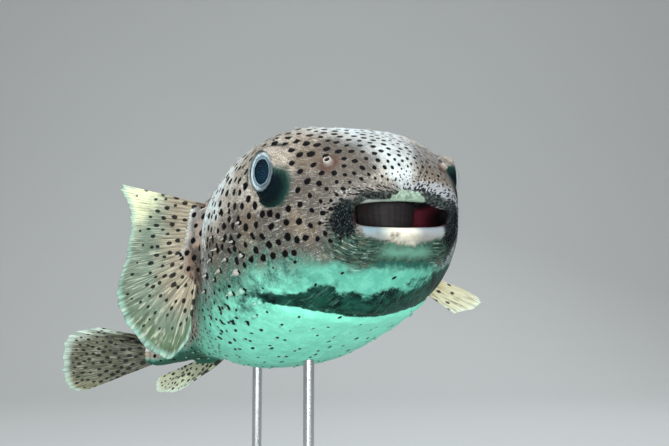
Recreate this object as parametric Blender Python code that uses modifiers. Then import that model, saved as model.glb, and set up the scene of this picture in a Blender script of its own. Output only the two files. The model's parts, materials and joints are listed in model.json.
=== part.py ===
"""A porcupinefish (Diodon hystrix), life size, swimming with its lips parted, on a display stand.

Lengths are metres. The fish is laid out in its own frame: X points forward from the snout, Y to the
fish's left and Z up, with the origin at the front of the upper lip. FISH_TO_WORLD then sets it nose
up over the stand, facing -Y, so that the fish's left is +X. The world's origin is the centre of the
stand's underside.

The body is one loft along a bent spine, parted into head, trunk and tail stalk. Each fin is a fan of
rays on a root line. Neighbours that touch keep GAP between their faces.
"""
import math

import bmesh
import bpy
import numpy as np
from mathutils import Matrix, Vector

# ---------------------------------------------------------------- driving dimensions
STANDARD_LENGTH = 0.430          # snout to the root of the tail fin
GAP = 0.0003                     # between solids that touch
NECK_CUT = 0.138                 # where the head meets the trunk, along the spine
STALK_CUT = 0.372                # where the trunk meets the tail stalk

# Half width, height above and depth below the spine, at distances behind the snout.
STATIONS = (
    (0.0000, 0.0286, 0.0101, 0.0119),
    (0.0080, 0.0395, 0.0284, 0.0359),
    (0.0250, 0.0505, 0.0428, 0.0517),
    (0.0500, 0.0632, 0.0550, 0.0614),
    (0.0850, 0.0740, 0.0675, 0.0673),
    (0.1250, 0.0797, 0.0775, 0.0718),
    (0.1700, 0.0790, 0.0785, 0.0739),
    (0.2150, 0.0726, 0.0720, 0.0693),
    (0.2650, 0.0575, 0.0600, 0.0560),
    (0.3150, 0.0390, 0.0440, 0.0405),
    (0.3750, 0.0200, 0.0255, 0.0245),
    (STANDARD_LENGTH, 0.0085, 0.0165, 0.0145),
)
# Exponent of the superellipse that the sections follow, at the snout and from the cheeks back
SNOUT_SQUARENESS, SQUARENESS = 2.0, 2.4
CHEEK_DISTANCE = 0.080

# The spine: the head is straight, the back droops behind it and the tail swings to the right.
TRUNK_DROOP = math.radians(9.8)
TAIL_DROOP = math.radians(17.0)
TAIL_SWING = math.radians(45.0)
DROOP_START, DROOP_END = 0.02, 0.12
SWING_START = 0.16

# Swells of the skin: centre on the right side or midline, reach, height and whether it is paired.
SWELLS = (
    ((-0.058, -0.060, 0.027), 0.026, 0.0030, True),     # round the eye
    ((-0.064, -0.048, 0.052), 0.030, 0.0045, True),     # brow
    ((-0.047, -0.060, 0.017), 0.013, 0.0028, True),     # lower front of the eyelid
    ((-0.014, 0.000, 0.018), 0.022, 0.0020, False),     # over the upper lip
    ((-0.032, 0.000, -0.056), 0.026, 0.0025, False),    # chin and throat
)
# The fold between throat and belly: its distance behind the snout on the midline, how much
# further back it lies at FOLD_SIDE_ANGLE from the midline, its width and its depth.
FOLD_DISTANCE, FOLD_SIDE_SHIFT, FOLD_SIDE_ANGLE = 0.052, 0.044, math.radians(61)
FOLD_WIDTH, FOLD_DEPTH = 0.0065, 0.0040

# Eyes, nostrils, mouth
EYE_RADIUS = 0.0150
EYE_CENTRE = (-0.0579, -0.0573, 0.0267)
EYE_FORWARD_TURN = math.radians(15.5)           # the eye looks sideways and this much forward
EYE_OPENING = 0.0090                            # from the eye's centre out to the lid's rim
EYELID_RADIUS = 0.0168
NOSTRIL_AT = (0.0185, math.radians(141.0))      # distance behind the snout, angle round the body
NOSTRIL_RADIUS = 0.0030
NOSTRIL_HEIGHT = 0.0040
MOUTH_HALF_WIDTH = 0.0318
MOUTH_HEIGHT_CENTRE = -0.0070
MOUTH_SQUARENESS = 3.2
# Sections of the mouth's hollow: distance behind the lips, half width and half height.
MOUTH_SECTIONS = (
    (-0.0080, 0.0316, 0.0100), (0.0050, 0.0312, 0.0100), (0.0120, 0.0290, 0.0120),
    (0.0240, 0.0270, 0.0140), (0.0360, 0.0200, 0.0110), (0.0420, 0.0080, 0.0050),
)
UPPER_LIP_RADIUS, LOWER_LIP_RADIUS = 0.0038, 0.0048
LIP_TAPER = 0.45                                # share of its radius that a lip loses at its ends
UPPER_LIP_RISE, LOWER_LIP_DROP = 0.0107, 0.0120  # from the mouth's middle to each lip's
# Plates of fused teeth: name, height of the plate's middle and half its height. Both follow one arc.
TOOTH_PLATES = (("tooth_plate_upper", -0.0066, 0.0088), ("tooth_plate_lower", -0.0184, 0.0024))
TOOTH_FRONT, TOOTH_BEND, TOOTH_HALF_SPAN, TOOTH_HALF_THICKNESS = 0.0105, 0.0200, 0.0170, 0.0018
TOOTH_ARC = math.radians(76)

# Placing: height of the snout over the floor and how the head is held
SNOUT_AT = (0.012, -0.190, 0.262)
HEAD_PITCH = math.radians(4.2)
HEAD_ROLL = math.radians(1.3)

# Stand
BASE_LENGTH, BASE_WIDTH, BASE_THICKNESS = 0.340, 0.240, 0.018
BASE_CORNER, BASE_EDGE = 0.040, 0.004
ROD_RADIUS = 0.0040
ROD_DISTANCES = (0.160, 0.270)                  # along the spine, above each rod

FIN_THICKNESS = 0.0012
FIN_SINK = 0.004                                # how far a fin's root starts inside the body


# ---------------------------------------------------------------- small helpers
def smooth(xs, ys, x):
    """Monotone cubic curve through (xs, ys), which never overshoots between two stations."""
    xs, ys, x = (np.asarray(values, float) for values in (xs, ys, x))
    step = np.diff(xs)
    slope = np.diff(ys) / step
    tangent = np.empty_like(ys)
    tangent[0], tangent[-1] = slope[0], slope[-1]
    product = slope[:-1] * slope[1:]
    total = slope[:-1] + slope[1:]
    tangent[1:-1] = np.where(product > 0, 2 * product / np.where(product > 0, total, 1), 0)
    i = np.clip(np.searchsorted(xs, x) - 1, 0, len(xs) - 2)
    t = np.clip((x - xs[i]) / step[i], 0, 1)
    rise = t * t * (3 - 2 * t)
    return (ys[i] * (1 - rise) + ys[i + 1] * rise
            + step[i] * t * (1 - t) * ((1 - t) * tangent[i] - t * tangent[i + 1]))


def fish_to_world():
    """Matrix from the fish's frame to the world: nose up, left side up, facing -Y."""
    return (Matrix.Translation(SNOUT_AT) @ Matrix.Rotation(-math.pi / 2, 4, 'Z')
            @ Matrix.Rotation(-HEAD_PITCH, 4, 'Y') @ Matrix.Rotation(HEAD_ROLL, 4, 'X'))


FISH_TO_WORLD = fish_to_world()


def to_world(points):
    """Fish-frame points, as an array of any shape (..., 3), in world coordinates."""
    matrix = np.array(FISH_TO_WORLD)
    return np.asarray(points) @ matrix[:3, :3].T + matrix[:3, 3]


# ---------------------------------------------------------------- the body's shape
SPINE_STEP = 0.001


def spine_table():
    """Distances, points, yaw and droop along the spine, by summing short steps."""
    count = int(round(STANDARD_LENGTH / SPINE_STEP)) + 1
    distance = np.linspace(0.0, STANDARD_LENGTH, count)
    swung = np.clip((distance - SWING_START) / (STANDARD_LENGTH - SWING_START), 0, 1)
    yaw = TAIL_SWING * swung ** 2
    drooped = np.clip((distance - DROOP_START) / (DROOP_END - DROOP_START), 0, 1)
    droop = TRUNK_DROOP * drooped + (TAIL_DROOP - TRUNK_DROOP) * swung
    back = np.stack([-np.cos(yaw) * np.cos(droop), -np.sin(yaw) * np.cos(droop), -np.sin(droop)], -1)
    points = np.zeros((count, 3))
    points[1:] = np.cumsum((back[1:] + back[:-1]) / 2 * np.diff(distance)[:, None], axis=0)
    return distance, points, yaw, droop


SPINE_DISTANCE, SPINE_POINT, SPINE_YAW, SPINE_DROOP = spine_table()


def spine(distance):
    """Point, back, left and up directions of the spine at distances behind the snout."""
    point = np.stack([np.interp(distance, SPINE_DISTANCE, SPINE_POINT[:, k]) for k in range(3)], -1)
    yaw = np.interp(distance, SPINE_DISTANCE, SPINE_YAW)
    droop = np.interp(distance, SPINE_DISTANCE, SPINE_DROOP)
    back = np.stack([-np.cos(yaw) * np.cos(droop), -np.sin(yaw) * np.cos(droop), -np.sin(droop)], -1)
    left = np.stack([-np.sin(yaw), np.cos(yaw), np.zeros_like(yaw)], -1)
    up = np.broadcast_to(np.array([0.0, 0.0, 1.0]), left.shape)
    return point, back, left, up


def skin(distance, angle, grow=0.0):
    """Points of the body's surface. The angle runs from the fish's left (0) over its back."""
    distance, angle = np.broadcast_arrays(np.asarray(distance, float), np.asarray(angle, float))
    table = np.array(STATIONS)
    half_width, above, below = (smooth(table[:, 0], table[:, k], distance) for k in (1, 2, 3))
    c, s = np.cos(angle), np.sin(angle)
    square = SNOUT_SQUARENESS + (SQUARENESS - SNOUT_SQUARENESS) * np.clip(distance / CHEEK_DISTANCE, 0, 1)
    section = (np.abs(c) ** square + np.abs(s) ** square) ** (-1 / square)
    height = np.where(s > 0, above, below)
    centre, _, left, up = spine(distance)
    offset = (left * ((half_width + grow) * section * c)[..., None]
              + up * ((height + grow) * section * s)[..., None])
    point = centre + offset
    outward = offset / np.linalg.norm(offset, axis=-1, keepdims=True)
    push = np.zeros(distance.shape)
    for swell_centre, reach, rise, paired in SWELLS:
        for side in ((1, -1) if paired else (1,)):
            at = np.array(swell_centre) * (1, side, 1)
            push += rise * np.exp(-np.sum((point - at) ** 2, axis=-1) / reach ** 2)
    aside = np.abs(np.arctan2(c, -s))           # angle from the belly's midline
    fold_at = FOLD_DISTANCE + FOLD_SIDE_SHIFT * (aside / FOLD_SIDE_ANGLE) ** 3
    fold = np.exp(-((distance - fold_at) / FOLD_WIDTH) ** 2)
    push -= FOLD_DEPTH * fold * np.clip(2.2 - 1.8 * aside / FOLD_SIDE_ANGLE, 0, 1)
    return point + outward * push[..., None]


# ---------------------------------------------------------------- Blender objects
def new_collection(name):
    collection = bpy.data.collections.new(name)
    bpy.context.scene.collection.children.link(collection)
    return collection


def new_material(name, colour, roughness, metallic=0.0):
    material = bpy.data.materials.new(name)
    material.use_nodes = True
    shader = material.node_tree.nodes["Principled BSDF"]
    shader.inputs["Base Color"].default_value = (*colour, 1.0)
    shader.inputs["Roughness"].default_value = roughness
    shader.inputs["Metallic"].default_value = metallic
    return material


def mesh_object(name, vertices, faces, collection, material=None):
    """A smooth-shaded object from world-space vertices, with its faces turned outward."""
    mesh = bpy.data.meshes.new(name)
    mesh.from_pydata([tuple(v) for v in vertices], [], faces)
    tidy = bmesh.new()
    tidy.from_mesh(mesh)
    bmesh.ops.recalc_face_normals(tidy, faces=tidy.faces)
    tidy.to_mesh(mesh)
    tidy.free()
    obj = bpy.data.objects.new(name, mesh)
    collection.objects.link(obj)
    mesh.shade_smooth()
    if material:
        mesh.materials.append(material)
    return obj


def loft(name, rings, collection, material=None):
    """A closed body through rings of equal count, capped by a flat face at each end."""
    count, around = rings.shape[:2]
    faces = [(i * around + j, i * around + (j + 1) % around,
              (i + 1) * around + (j + 1) % around, (i + 1) * around + j)
             for i in range(count - 1) for j in range(around)]
    faces.append(tuple(range(around)))
    faces.append(tuple((count - 1) * around + j for j in range(around)))
    return mesh_object(name, rings.reshape(-1, 3), faces, collection, material)


def cut(obj, cutter, operation='DIFFERENCE'):
    """Boolean of obj with a cutter, which stays a hidden guide."""
    modifier = obj.modifiers.new(f"{operation.lower()}_{cutter.name}", 'BOOLEAN')
    modifier.operation = operation
    modifier.object = cutter
    modifier.solver = 'EXACT'


def as_cutter(obj):
    obj.hide_render = True
    obj.display_type = 'WIRE'
    return obj


def ellipsoid(name, centre, radii, collection, material=None, segments=20, rings=12):
    """An ellipsoid in the fish's frame, its axes along the head's."""
    bm = bmesh.new()
    bmesh.ops.create_uvsphere(bm, u_segments=segments, v_segments=rings, radius=1.0)
    bm.transform(FISH_TO_WORLD @ Matrix.Translation(centre) @ Matrix.Diagonal((*radii, 1.0)))
    mesh = bpy.data.meshes.new(name)
    bm.to_mesh(mesh)
    bm.free()
    mesh.shade_smooth()
    obj = bpy.data.objects.new(name, mesh)
    collection.objects.link(obj)
    if material:
        mesh.materials.append(material)
    return obj


def sweep(name, path, across, along_up, section, collection, material=None):
    """A closed bar along path (n, 3): section (n, m, 2) or (m, 2) is set off by the directions
    across and along_up (n, 3)."""
    section = np.broadcast_to(section, (len(path),) + section.shape[-2:])
    rings = path[:, None] + across[:, None] * section[..., :1] + along_up[:, None] * section[..., 1:]
    return loft(name, to_world(rings), collection, material)


def ring_section(radius_a, radius_b, points=8, squareness=2.0):
    """A closed oval section, rounder or squarer by its exponent."""
    turn = np.linspace(0, 2 * np.pi, points, endpoint=False) + np.pi / points
    c, s = np.cos(turn), np.sin(turn)
    scale = (np.abs(c) ** squareness + np.abs(s) ** squareness) ** (-1 / squareness)
    return np.stack([radius_a * scale * c, radius_b * scale * s], -1)


# ---------------------------------------------------------------- body
AROUND = 40


def body_piece(name, start, end, rings, collection, material=None, grow=0.0, power=1.0):
    """The part of the body between two distances along the spine."""
    distance = start + (end - start) * np.linspace(0, 1, rings) ** power
    angle = np.linspace(0, 2 * np.pi, AROUND, endpoint=False) + np.pi / AROUND
    return loft(name, to_world(skin(distance[:, None], angle[None, :], grow)), collection, material)


def build_body(fish, guides, flesh):
    """The three lengths of the body; returns the head and a guide that trims what meets the rest."""
    head = body_piece("head", 0.0, NECK_CUT - GAP / 2, 19, fish, flesh, power=1.5)
    body_piece("trunk", NECK_CUT + GAP / 2, STALK_CUT - GAP / 2, 12, fish, flesh)
    body_piece("tail_stalk", STALK_CUT + GAP / 2, STANDARD_LENGTH, 6, fish, flesh)
    trim = body_piece("trunk_clearance", NECK_CUT - 0.01, STANDARD_LENGTH + GAP, 24, guides, grow=GAP)
    return head, as_cutter(trim)


# ---------------------------------------------------------------- eyes, nostrils, mouth
def build_eyes(head, fish, guides, material):
    """Each eye sits in a ball of lid that the head carries, open on the side that it looks to."""
    for name, side in (("eye_right", 1), ("eye_left", -1)):
        centre = np.array(EYE_CENTRE) * (1, side, 1)
        lid = ellipsoid(f"{name}_lid", centre, (EYELID_RADIUS,) * 3, guides)
        cut(head, as_cutter(lid), 'UNION')
        look = np.array((math.sin(EYE_FORWARD_TURN), -side * math.cos(EYE_FORWARD_TURN), 0.0))
        across = np.array((look[1], -look[0], 0.0))
        turns = np.linspace(0, 2 * np.pi, 20, endpoint=False)
        circle = np.cos(turns)[:, None] * across + np.sin(turns)[:, None] * (0.0, 0.0, 1.0)
        opening = np.array([centre + look * reach + circle * EYELID_RADIUS
                            for reach in (EYE_OPENING, EYE_OPENING + EYELID_RADIUS)])
        cut(head, as_cutter(loft(f"{name}_opening", to_world(opening), guides)))
        socket = ellipsoid(f"{name}_socket", centre, (EYE_RADIUS + GAP,) * 3, guides)
        cut(head, as_cutter(socket))
        ellipsoid(name, centre, (EYE_RADIUS,) * 3, fish, material)


def build_nostrils(fish, guides, material):
    """A short tube on each side of the snout, its foot trimmed to the head's surface."""
    head_guide = as_cutter(body_piece("head_clearance", 0.0, 0.09, 16, guides, grow=GAP))
    distance, angle = NOSTRIL_AT
    for name, turn in (("nostril_right", angle), ("nostril_left", math.pi - angle)):
        foot = skin(distance, turn)
        normal = np.cross(skin(distance + 0.002, turn) - foot, skin(distance, turn + 0.04) - foot)
        normal *= np.sign(normal[2]) / np.linalg.norm(normal)
        side = np.cross(normal, (1.0, 0.0, 0.0))
        side /= np.linalg.norm(side)
        along = np.cross(side, normal)
        turns = np.linspace(0, 2 * np.pi, 12, endpoint=False)
        circle = np.cos(turns)[:, None] * side + np.sin(turns)[:, None] * along
        profile = ((-0.004, 1.0), (0.6 * NOSTRIL_HEIGHT, 0.95), (NOSTRIL_HEIGHT, 0.80),
                   (0.95 * NOSTRIL_HEIGHT, 0.50), (0.35 * NOSTRIL_HEIGHT, 0.40))
        rings = np.array([foot + normal * height + circle * NOSTRIL_RADIUS * width
                          for height, width in profile])
        cut(loft(name, to_world(rings), fish, material), head_guide)


def mouth_oval(half_width, half_height, turn):
    """Points (0, y, z) of a squared oval about the mouth's middle."""
    c, s = np.cos(turn), np.sin(turn)
    scale = (np.abs(c) ** MOUTH_SQUARENESS + np.abs(s) ** MOUTH_SQUARENESS) ** (-1 / MOUTH_SQUARENESS)
    return np.stack([np.zeros_like(turn), half_width * scale * c, half_height * scale * s], -1)


def frame_of(path):
    """For a path seen from the front: the forward direction and the one square to the path."""
    along = np.gradient(path, axis=0)
    along /= np.linalg.norm(along, axis=1, keepdims=True)
    forward = np.broadcast_to(np.array([1.0, 0.0, 0.0]), path.shape)
    square = np.cross(along, forward)
    square /= np.linalg.norm(square, axis=1, keepdims=True)
    return forward, square


def build_mouth(head, fish, guides, flesh, tooth):
    """The mouth's hollow, its two lips, and the two plates of fused teeth behind them."""
    middle = np.array((0.0, 0.0, MOUTH_HEIGHT_CENTRE))
    turns = np.linspace(0, 2 * np.pi, 24, endpoint=False)
    rings = np.array([middle - (back, 0.0, 0.0) + mouth_oval(half_width, half_height, turns)
                      for back, half_width, half_height in MOUTH_SECTIONS])
    cut(head, as_cutter(loft("mouth_hollow", to_world(rings), guides)))

    for name, rise, radius, front, start in (
            ("lip_upper", UPPER_LIP_RISE, UPPER_LIP_RADIUS, -0.0006, 6),
            ("lip_lower", -LOWER_LIP_DROP, LOWER_LIP_RADIUS, -0.0036, 9)):
        turn = np.radians(np.linspace(start, 180 - start, 15))
        path = middle + mouth_oval(MOUTH_HALF_WIDTH, rise, turn)
        path[:, 0] = front - 0.0030 * (path[:, 1] / MOUTH_HALF_WIDTH) ** 2
        forward, square = frame_of(path)
        thickness = radius * (1 - LIP_TAPER * (path[:, 1] / MOUTH_HALF_WIDTH) ** 4)[:, None, None]
        sweep(name, path, forward, square, ring_section(1, 1) * thickness, fish, flesh)
        room = sweep(f"{name}_room", longer(path, GAP), forward, square,
                     ring_section(1, 1) * (thickness + GAP), guides)
        cut(head, as_cutter(room))

    turn = np.linspace(-TOOTH_ARC, TOOTH_ARC, 13)
    for name, height, tall in TOOTH_PLATES:
        path = np.stack([-TOOTH_FRONT - TOOTH_BEND * (1 - np.cos(turn)), TOOTH_HALF_SPAN * np.sin(turn),
                         np.full(turn.shape, height)], -1)
        along = np.gradient(path, axis=0)
        along /= np.linalg.norm(along, axis=1, keepdims=True)
        up = np.broadcast_to(np.array([0.0, 0.0, 1.0]), path.shape)
        outward = np.cross(along, up)
        section = ring_section(TOOTH_HALF_THICKNESS, tall, squareness=4.0)
        sweep(name, path, outward, up, section, fish, tooth)
        section = ring_section(TOOTH_HALF_THICKNESS + GAP, tall + GAP, squareness=4.0)
        room = sweep(f"{name}_room", longer(path, GAP), outward, up, section, guides)
        cut(head, as_cutter(room))


def longer(path, extra):
    """The path with each end moved out by extra."""
    path = path.copy()
    for end, inner in ((0, 1), (-1, -2)):
        step = path[end] - path[inner]
        path[end] = path[end] + step / np.linalg.norm(step) * extra
    return path


# ---------------------------------------------------------------- fins
# Each fin's rays, in rows of: share of the root, length, lean towards the root's start and swing
# sideways, both in degrees. The share runs from the first end of the root to the last.
PECTORAL_RIGHT_RAYS = (
    (0.00, 0.090, 18, 35), (0.20, 0.070, 12, 35), (0.40, 0.066, 8, 34), (0.55, 0.069, 1, 34),
    (0.68, 0.074, -8, 35), (0.80, 0.079, -17, 36), (0.875, 0.0755, -34, 36), (0.94, 0.070, -62, 31),
    (1.00, 0.046, -78, 28),
)
PECTORAL_LEFT_RAYS = (
    (0.00, 0.080, 20, 28), (0.35, 0.070, 8, 30), (0.60, 0.072, -8, 38), (0.74, 0.074, -22, 60),
    (0.84, 0.086, -21, 82), (0.92, 0.085, -22, 84), (1.00, 0.066, -32, 78),
)
CAUDAL_RAYS = (
    (0.00, 0.060, 27, 27), (0.15, 0.074, 26, 27), (0.30, 0.088, 24, 27), (0.45, 0.094, 20, 27),
    (0.60, 0.092, 12, 27), (0.75, 0.089, 5, 27), (0.88, 0.084, 0, 27), (1.00, 0.074, -4, 27),
)
ANAL_RAYS = (
    (0.00, 0.046, -65, 26), (0.30, 0.064, -72, 26), (0.60, 0.072, -78, 26), (0.85, 0.068, -84, 24),
    (1.00, 0.056, -88, 22),
)
DORSAL_RAYS = (
    (0.00, 0.046, -34, 14), (0.30, 0.062, -46, 16), (0.60, 0.066, -58, 18), (0.85, 0.058, -70, 18),
    (1.00, 0.044, -80, 16),
)
FIN_RAY_LINES, FIN_STEPS = 17, 7


def fin(name, root, axes, rays, bow, collection, material, trim):
    """A fan of rays. root(share) is its line on the body; axes(share) its straight-out, sideways
    and lean directions; bow is how far each ray's tip curls sideways, as a share of its length."""
    table = np.array(rays, float)
    share = np.linspace(0, 1, FIN_RAY_LINES)
    length, lean, swing = (smooth(table[:, 0], table[:, k], share) for k in (1, 2, 3))
    lean, swing = np.radians(lean)[:, None], np.radians(swing)[:, None]
    start = root(share)
    straight, side, towards = axes(share)
    ray = np.cos(lean) * (np.cos(swing) * straight + np.sin(swing) * side) + np.sin(lean) * towards
    curl = np.cos(swing) * side - np.sin(swing) * straight
    reach = np.linspace(-FIN_SINK / length.mean(), 1, FIN_STEPS)
    along = (length[:, None] * reach[None])[..., None]
    bend = (length[:, None] * bow * np.clip(reach, 0, 1) ** 2)[..., None]
    grid = to_world(start[:, None] + ray[:, None] * along + curl[:, None] * bend)
    corners = [i * FIN_STEPS + j for i in range(FIN_RAY_LINES - 1) for j in range(FIN_STEPS - 1)]
    faces = [(k, k + 1, k + FIN_STEPS + 1, k + FIN_STEPS) for k in corners]
    obj = mesh_object(name, grid.reshape(-1, 3), faces, collection, material)
    solid = obj.modifiers.new("thickness", 'SOLIDIFY')
    solid.thickness = FIN_THICKNESS
    solid.offset = 0.0
    cut(obj, trim)
    return obj


def flank_root(distance_top, distance_bottom, angle_top, angle_bottom):
    """A root line down the flank, between two angles round the body."""
    def root(share):
        distance = distance_top + (distance_bottom - distance_top) * share
        return skin(distance, angle_top + (angle_bottom - angle_top) * share)
    return root


def ridge_root(start, end, angle):
    """A root line along the back (angle 90 degrees) or the belly."""
    return lambda share: skin(start + (end - start) * share, np.full(share.shape, angle))


def build_fins(fish, trim, membrane):
    def pectoral_axes(side):
        def axes(share):
            _, back, left, up = spine(np.full(share.shape, 0.150))
            return back * (1, 1, 0), left * side, up
        return axes

    degrees = math.radians
    fin("fin_pectoral_right", flank_root(0.160, 0.166, degrees(151), degrees(186)), pectoral_axes(-1),
        PECTORAL_RIGHT_RAYS, 0.06, fish, membrane, trim)
    fin("fin_pectoral_left", flank_root(0.160, 0.166, degrees(29), degrees(-6)), pectoral_axes(1),
        PECTORAL_LEFT_RAYS, 0.06, fish, membrane, trim)

    def ridge_axes(rise):
        def axes(share):
            _, back, left, up = spine(np.full(share.shape, 0.355))
            return up * rise, -left, -back
        return axes

    fin("fin_dorsal", ridge_root(0.316, 0.360, degrees(90)), ridge_axes(1), DORSAL_RAYS, 0.10,
        fish, membrane, trim)
    fin("fin_anal", ridge_root(0.334, 0.369, degrees(270)), ridge_axes(-1), ANAL_RAYS, 0.10,
        fish, membrane, trim)

    def tail_root(share):
        point, _, _, up = spine(np.full(share.shape, STANDARD_LENGTH))
        _, _, above, below = STATIONS[-1]
        return point + up * (0.8 * (above - (above + below) * share))[:, None]

    def tail_axes(share):
        _, back, left, up = spine(np.full(share.shape, STANDARD_LENGTH))
        return back, -left, up

    fin("fin_caudal", tail_root, tail_axes, CAUDAL_RAYS, 0.05, fish, membrane, trim)


# ---------------------------------------------------------------- stand
def build_stand(fish, trim, wood, steel):
    bpy.ops.mesh.primitive_cube_add(size=1.0, location=(0, 0, BASE_THICKNESS / 2))
    base = bpy.context.object
    base.name = base.data.name = "stand_base"
    base.data.transform(Matrix.Diagonal((BASE_WIDTH, BASE_LENGTH, BASE_THICKNESS, 1.0)))
    bm = bmesh.new()
    bm.from_mesh(base.data)
    upright = [e for e in bm.edges if abs(e.verts[0].co.z - e.verts[1].co.z) > BASE_THICKNESS / 2]
    bmesh.ops.bevel(bm, geom=upright, offset=BASE_CORNER, segments=6, profile=0.5, affect='EDGES')
    rim = [e for e in bm.edges if min(v.co.z for v in e.verts) > BASE_THICKNESS / 2 - 1e-5]
    bmesh.ops.bevel(bm, geom=rim, offset=BASE_EDGE, segments=2, profile=0.5, affect='EDGES')
    bm.to_mesh(base.data)
    bm.free()
    base.data.materials.append(wood)
    move_to(base, fish)
    for name, distance in zip(("stand_rod_front", "stand_rod_rear"), ROD_DISTANCES):
        belly = Vector(to_world(skin(distance, math.radians(270))))
        bottom = BASE_THICKNESS + GAP
        top = belly.z + 0.012
        bpy.ops.mesh.primitive_cylinder_add(radius=ROD_RADIUS, depth=top - bottom, vertices=20,
                                            location=(belly.x, belly.y, (top + bottom) / 2))
        rod = bpy.context.object
        rod.name = rod.data.name = name
        rod.data.shade_smooth()
        rod.data.set_sharp_from_angle(angle=math.radians(40))
        rod.data.materials.append(steel)
        cut(rod, trim)
        move_to(rod, fish)


def move_to(obj, collection):
    for owner in list(obj.users_collection):
        owner.objects.unlink(obj)
    collection.objects.link(obj)


def main():
    for obj in list(bpy.data.objects):
        bpy.data.objects.remove(obj, do_unlink=True)
    fish = new_collection("porcupinefish")
    guides = new_collection("guides")
    flesh = new_material("spotted_skin", (0.52, 0.46, 0.38), 0.45)
    membrane = new_material("fin_membrane", (0.55, 0.55, 0.42), 0.40)
    eye = new_material("eye", (0.02, 0.05, 0.10), 0.10)
    tooth = new_material("tooth_plate", (0.20, 0.18, 0.19), 0.35)
    wood = new_material("stand_wood", (0.06, 0.04, 0.03), 0.40)
    steel = new_material("stand_steel", (0.60, 0.60, 0.60), 0.30, 1.0)

    head, trim = build_body(fish, guides, flesh)
    build_eyes(head, fish, guides, eye)
    build_nostrils(fish, guides, flesh)
    build_mouth(head, fish, guides, flesh, tooth)
    build_fins(fish, trim, membrane)
    build_stand(fish, trim, wood, steel)


main()
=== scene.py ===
"""Looks of the spot-fin porcupinefish: skin, spines, fins, eyes, teeth and stand finishes.

Lengths are metres. Shapes are worked out in the fish's own frame (X forward from the snout, Y to
its left, Z up, origin at the front of the upper lip) by the same named sizes as the solids, and
placed in the world by FISH_TO_WORLD.
"""

import json
import math

import bmesh
import bpy
import numpy as np
from mathutils import Matrix, Vector, kdtree

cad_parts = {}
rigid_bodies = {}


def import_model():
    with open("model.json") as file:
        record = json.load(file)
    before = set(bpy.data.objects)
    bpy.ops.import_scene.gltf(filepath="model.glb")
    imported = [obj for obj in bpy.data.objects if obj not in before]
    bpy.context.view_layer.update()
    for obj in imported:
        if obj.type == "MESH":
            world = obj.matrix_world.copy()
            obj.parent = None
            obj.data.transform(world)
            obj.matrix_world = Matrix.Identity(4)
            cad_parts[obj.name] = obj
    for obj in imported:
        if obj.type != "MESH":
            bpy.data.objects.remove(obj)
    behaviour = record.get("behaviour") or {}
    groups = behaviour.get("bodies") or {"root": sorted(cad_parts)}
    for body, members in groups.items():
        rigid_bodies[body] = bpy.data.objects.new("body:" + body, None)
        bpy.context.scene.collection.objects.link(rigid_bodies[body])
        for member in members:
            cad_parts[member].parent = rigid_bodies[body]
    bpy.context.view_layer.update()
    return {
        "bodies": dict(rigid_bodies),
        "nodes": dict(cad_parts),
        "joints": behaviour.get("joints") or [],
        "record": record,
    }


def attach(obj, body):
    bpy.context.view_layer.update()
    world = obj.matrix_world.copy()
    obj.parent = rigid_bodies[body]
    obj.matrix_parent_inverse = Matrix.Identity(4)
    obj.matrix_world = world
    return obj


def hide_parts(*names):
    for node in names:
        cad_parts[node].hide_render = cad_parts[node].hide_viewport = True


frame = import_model()
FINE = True

# ---------------------------------------------------------------- sizes shared with the solids
SIDES = (1, -1)                  # the fish's right, then its left
STANDARD_LENGTH = 0.430
STATIONS = (                     # distance behind the snout, half width, height above, depth below
    (0.0000, 0.0286, 0.0101, 0.0119),
    (0.0080, 0.0395, 0.0284, 0.0359),
    (0.0250, 0.0505, 0.0428, 0.0517),
    (0.0500, 0.0632, 0.0550, 0.0614),
    (0.0850, 0.0740, 0.0675, 0.0673),
    (0.1250, 0.0797, 0.0775, 0.0718),
    (0.1700, 0.0790, 0.0785, 0.0739),
    (0.2150, 0.0726, 0.0720, 0.0693),
    (0.2650, 0.0575, 0.0600, 0.0560),
    (0.3150, 0.0390, 0.0440, 0.0405),
    (0.3750, 0.0200, 0.0255, 0.0245),
    (STANDARD_LENGTH, 0.0085, 0.0165, 0.0145),
)
SNOUT_SQUARENESS, SQUARENESS, CHEEK_DISTANCE = 2.0, 2.4, 0.080
TRUNK_DROOP, TAIL_DROOP, TAIL_SWING = math.radians(9.8), math.radians(17.0), math.radians(45.0)
DROOP_START, DROOP_END, SWING_START = 0.02, 0.12, 0.16
SWELLS = (                       # centre, reach and rise of each, and whether it is on both sides
    ((-0.058, -0.060, 0.027), 0.026, 0.0030, True),
    ((-0.064, -0.048, 0.052), 0.030, 0.0045, True),
    ((-0.047, -0.060, 0.017), 0.013, 0.0028, True),
    ((-0.014, 0.000, 0.018), 0.022, 0.0020, False),
    ((-0.032, 0.000, -0.056), 0.026, 0.0025, False),
)
FOLD_DISTANCE, FOLD_SIDE_SHIFT, FOLD_SIDE_ANGLE = 0.052, 0.044, math.radians(61)
FOLD_WIDTH, FOLD_DEPTH = 0.0065, 0.0040
EYE_RADIUS, EYELID_RADIUS, EYE_OPENING = 0.0150, 0.0168, 0.0090
SOCKET_RADIUS = EYE_RADIUS + 0.0002
EYE_CENTRE = np.array((-0.0579, -0.0573, 0.0267))
EYE_FORWARD_TURN = math.radians(15.5)
LID_CENTRE = np.array((-0.048, -0.0585, 0.018))
LID_SHADE_CENTRE = np.array((-0.0495, -0.0600, 0.0145))
NOSTRIL_AT, NOSTRIL_RADIUS, NOSTRIL_HEIGHT = (0.0185, math.radians(141.0)), 0.0030, 0.0040
MOUTH_HALF_WIDTH, MOUTH_HALF_HEIGHT, MOUTH_SQUARENESS, MOUTH_CORNER = 0.0318, 0.0115, 3.2, 0.0095
MOUTH_MIDDLE = np.array((0.0, 0.0, -0.0070))
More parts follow.
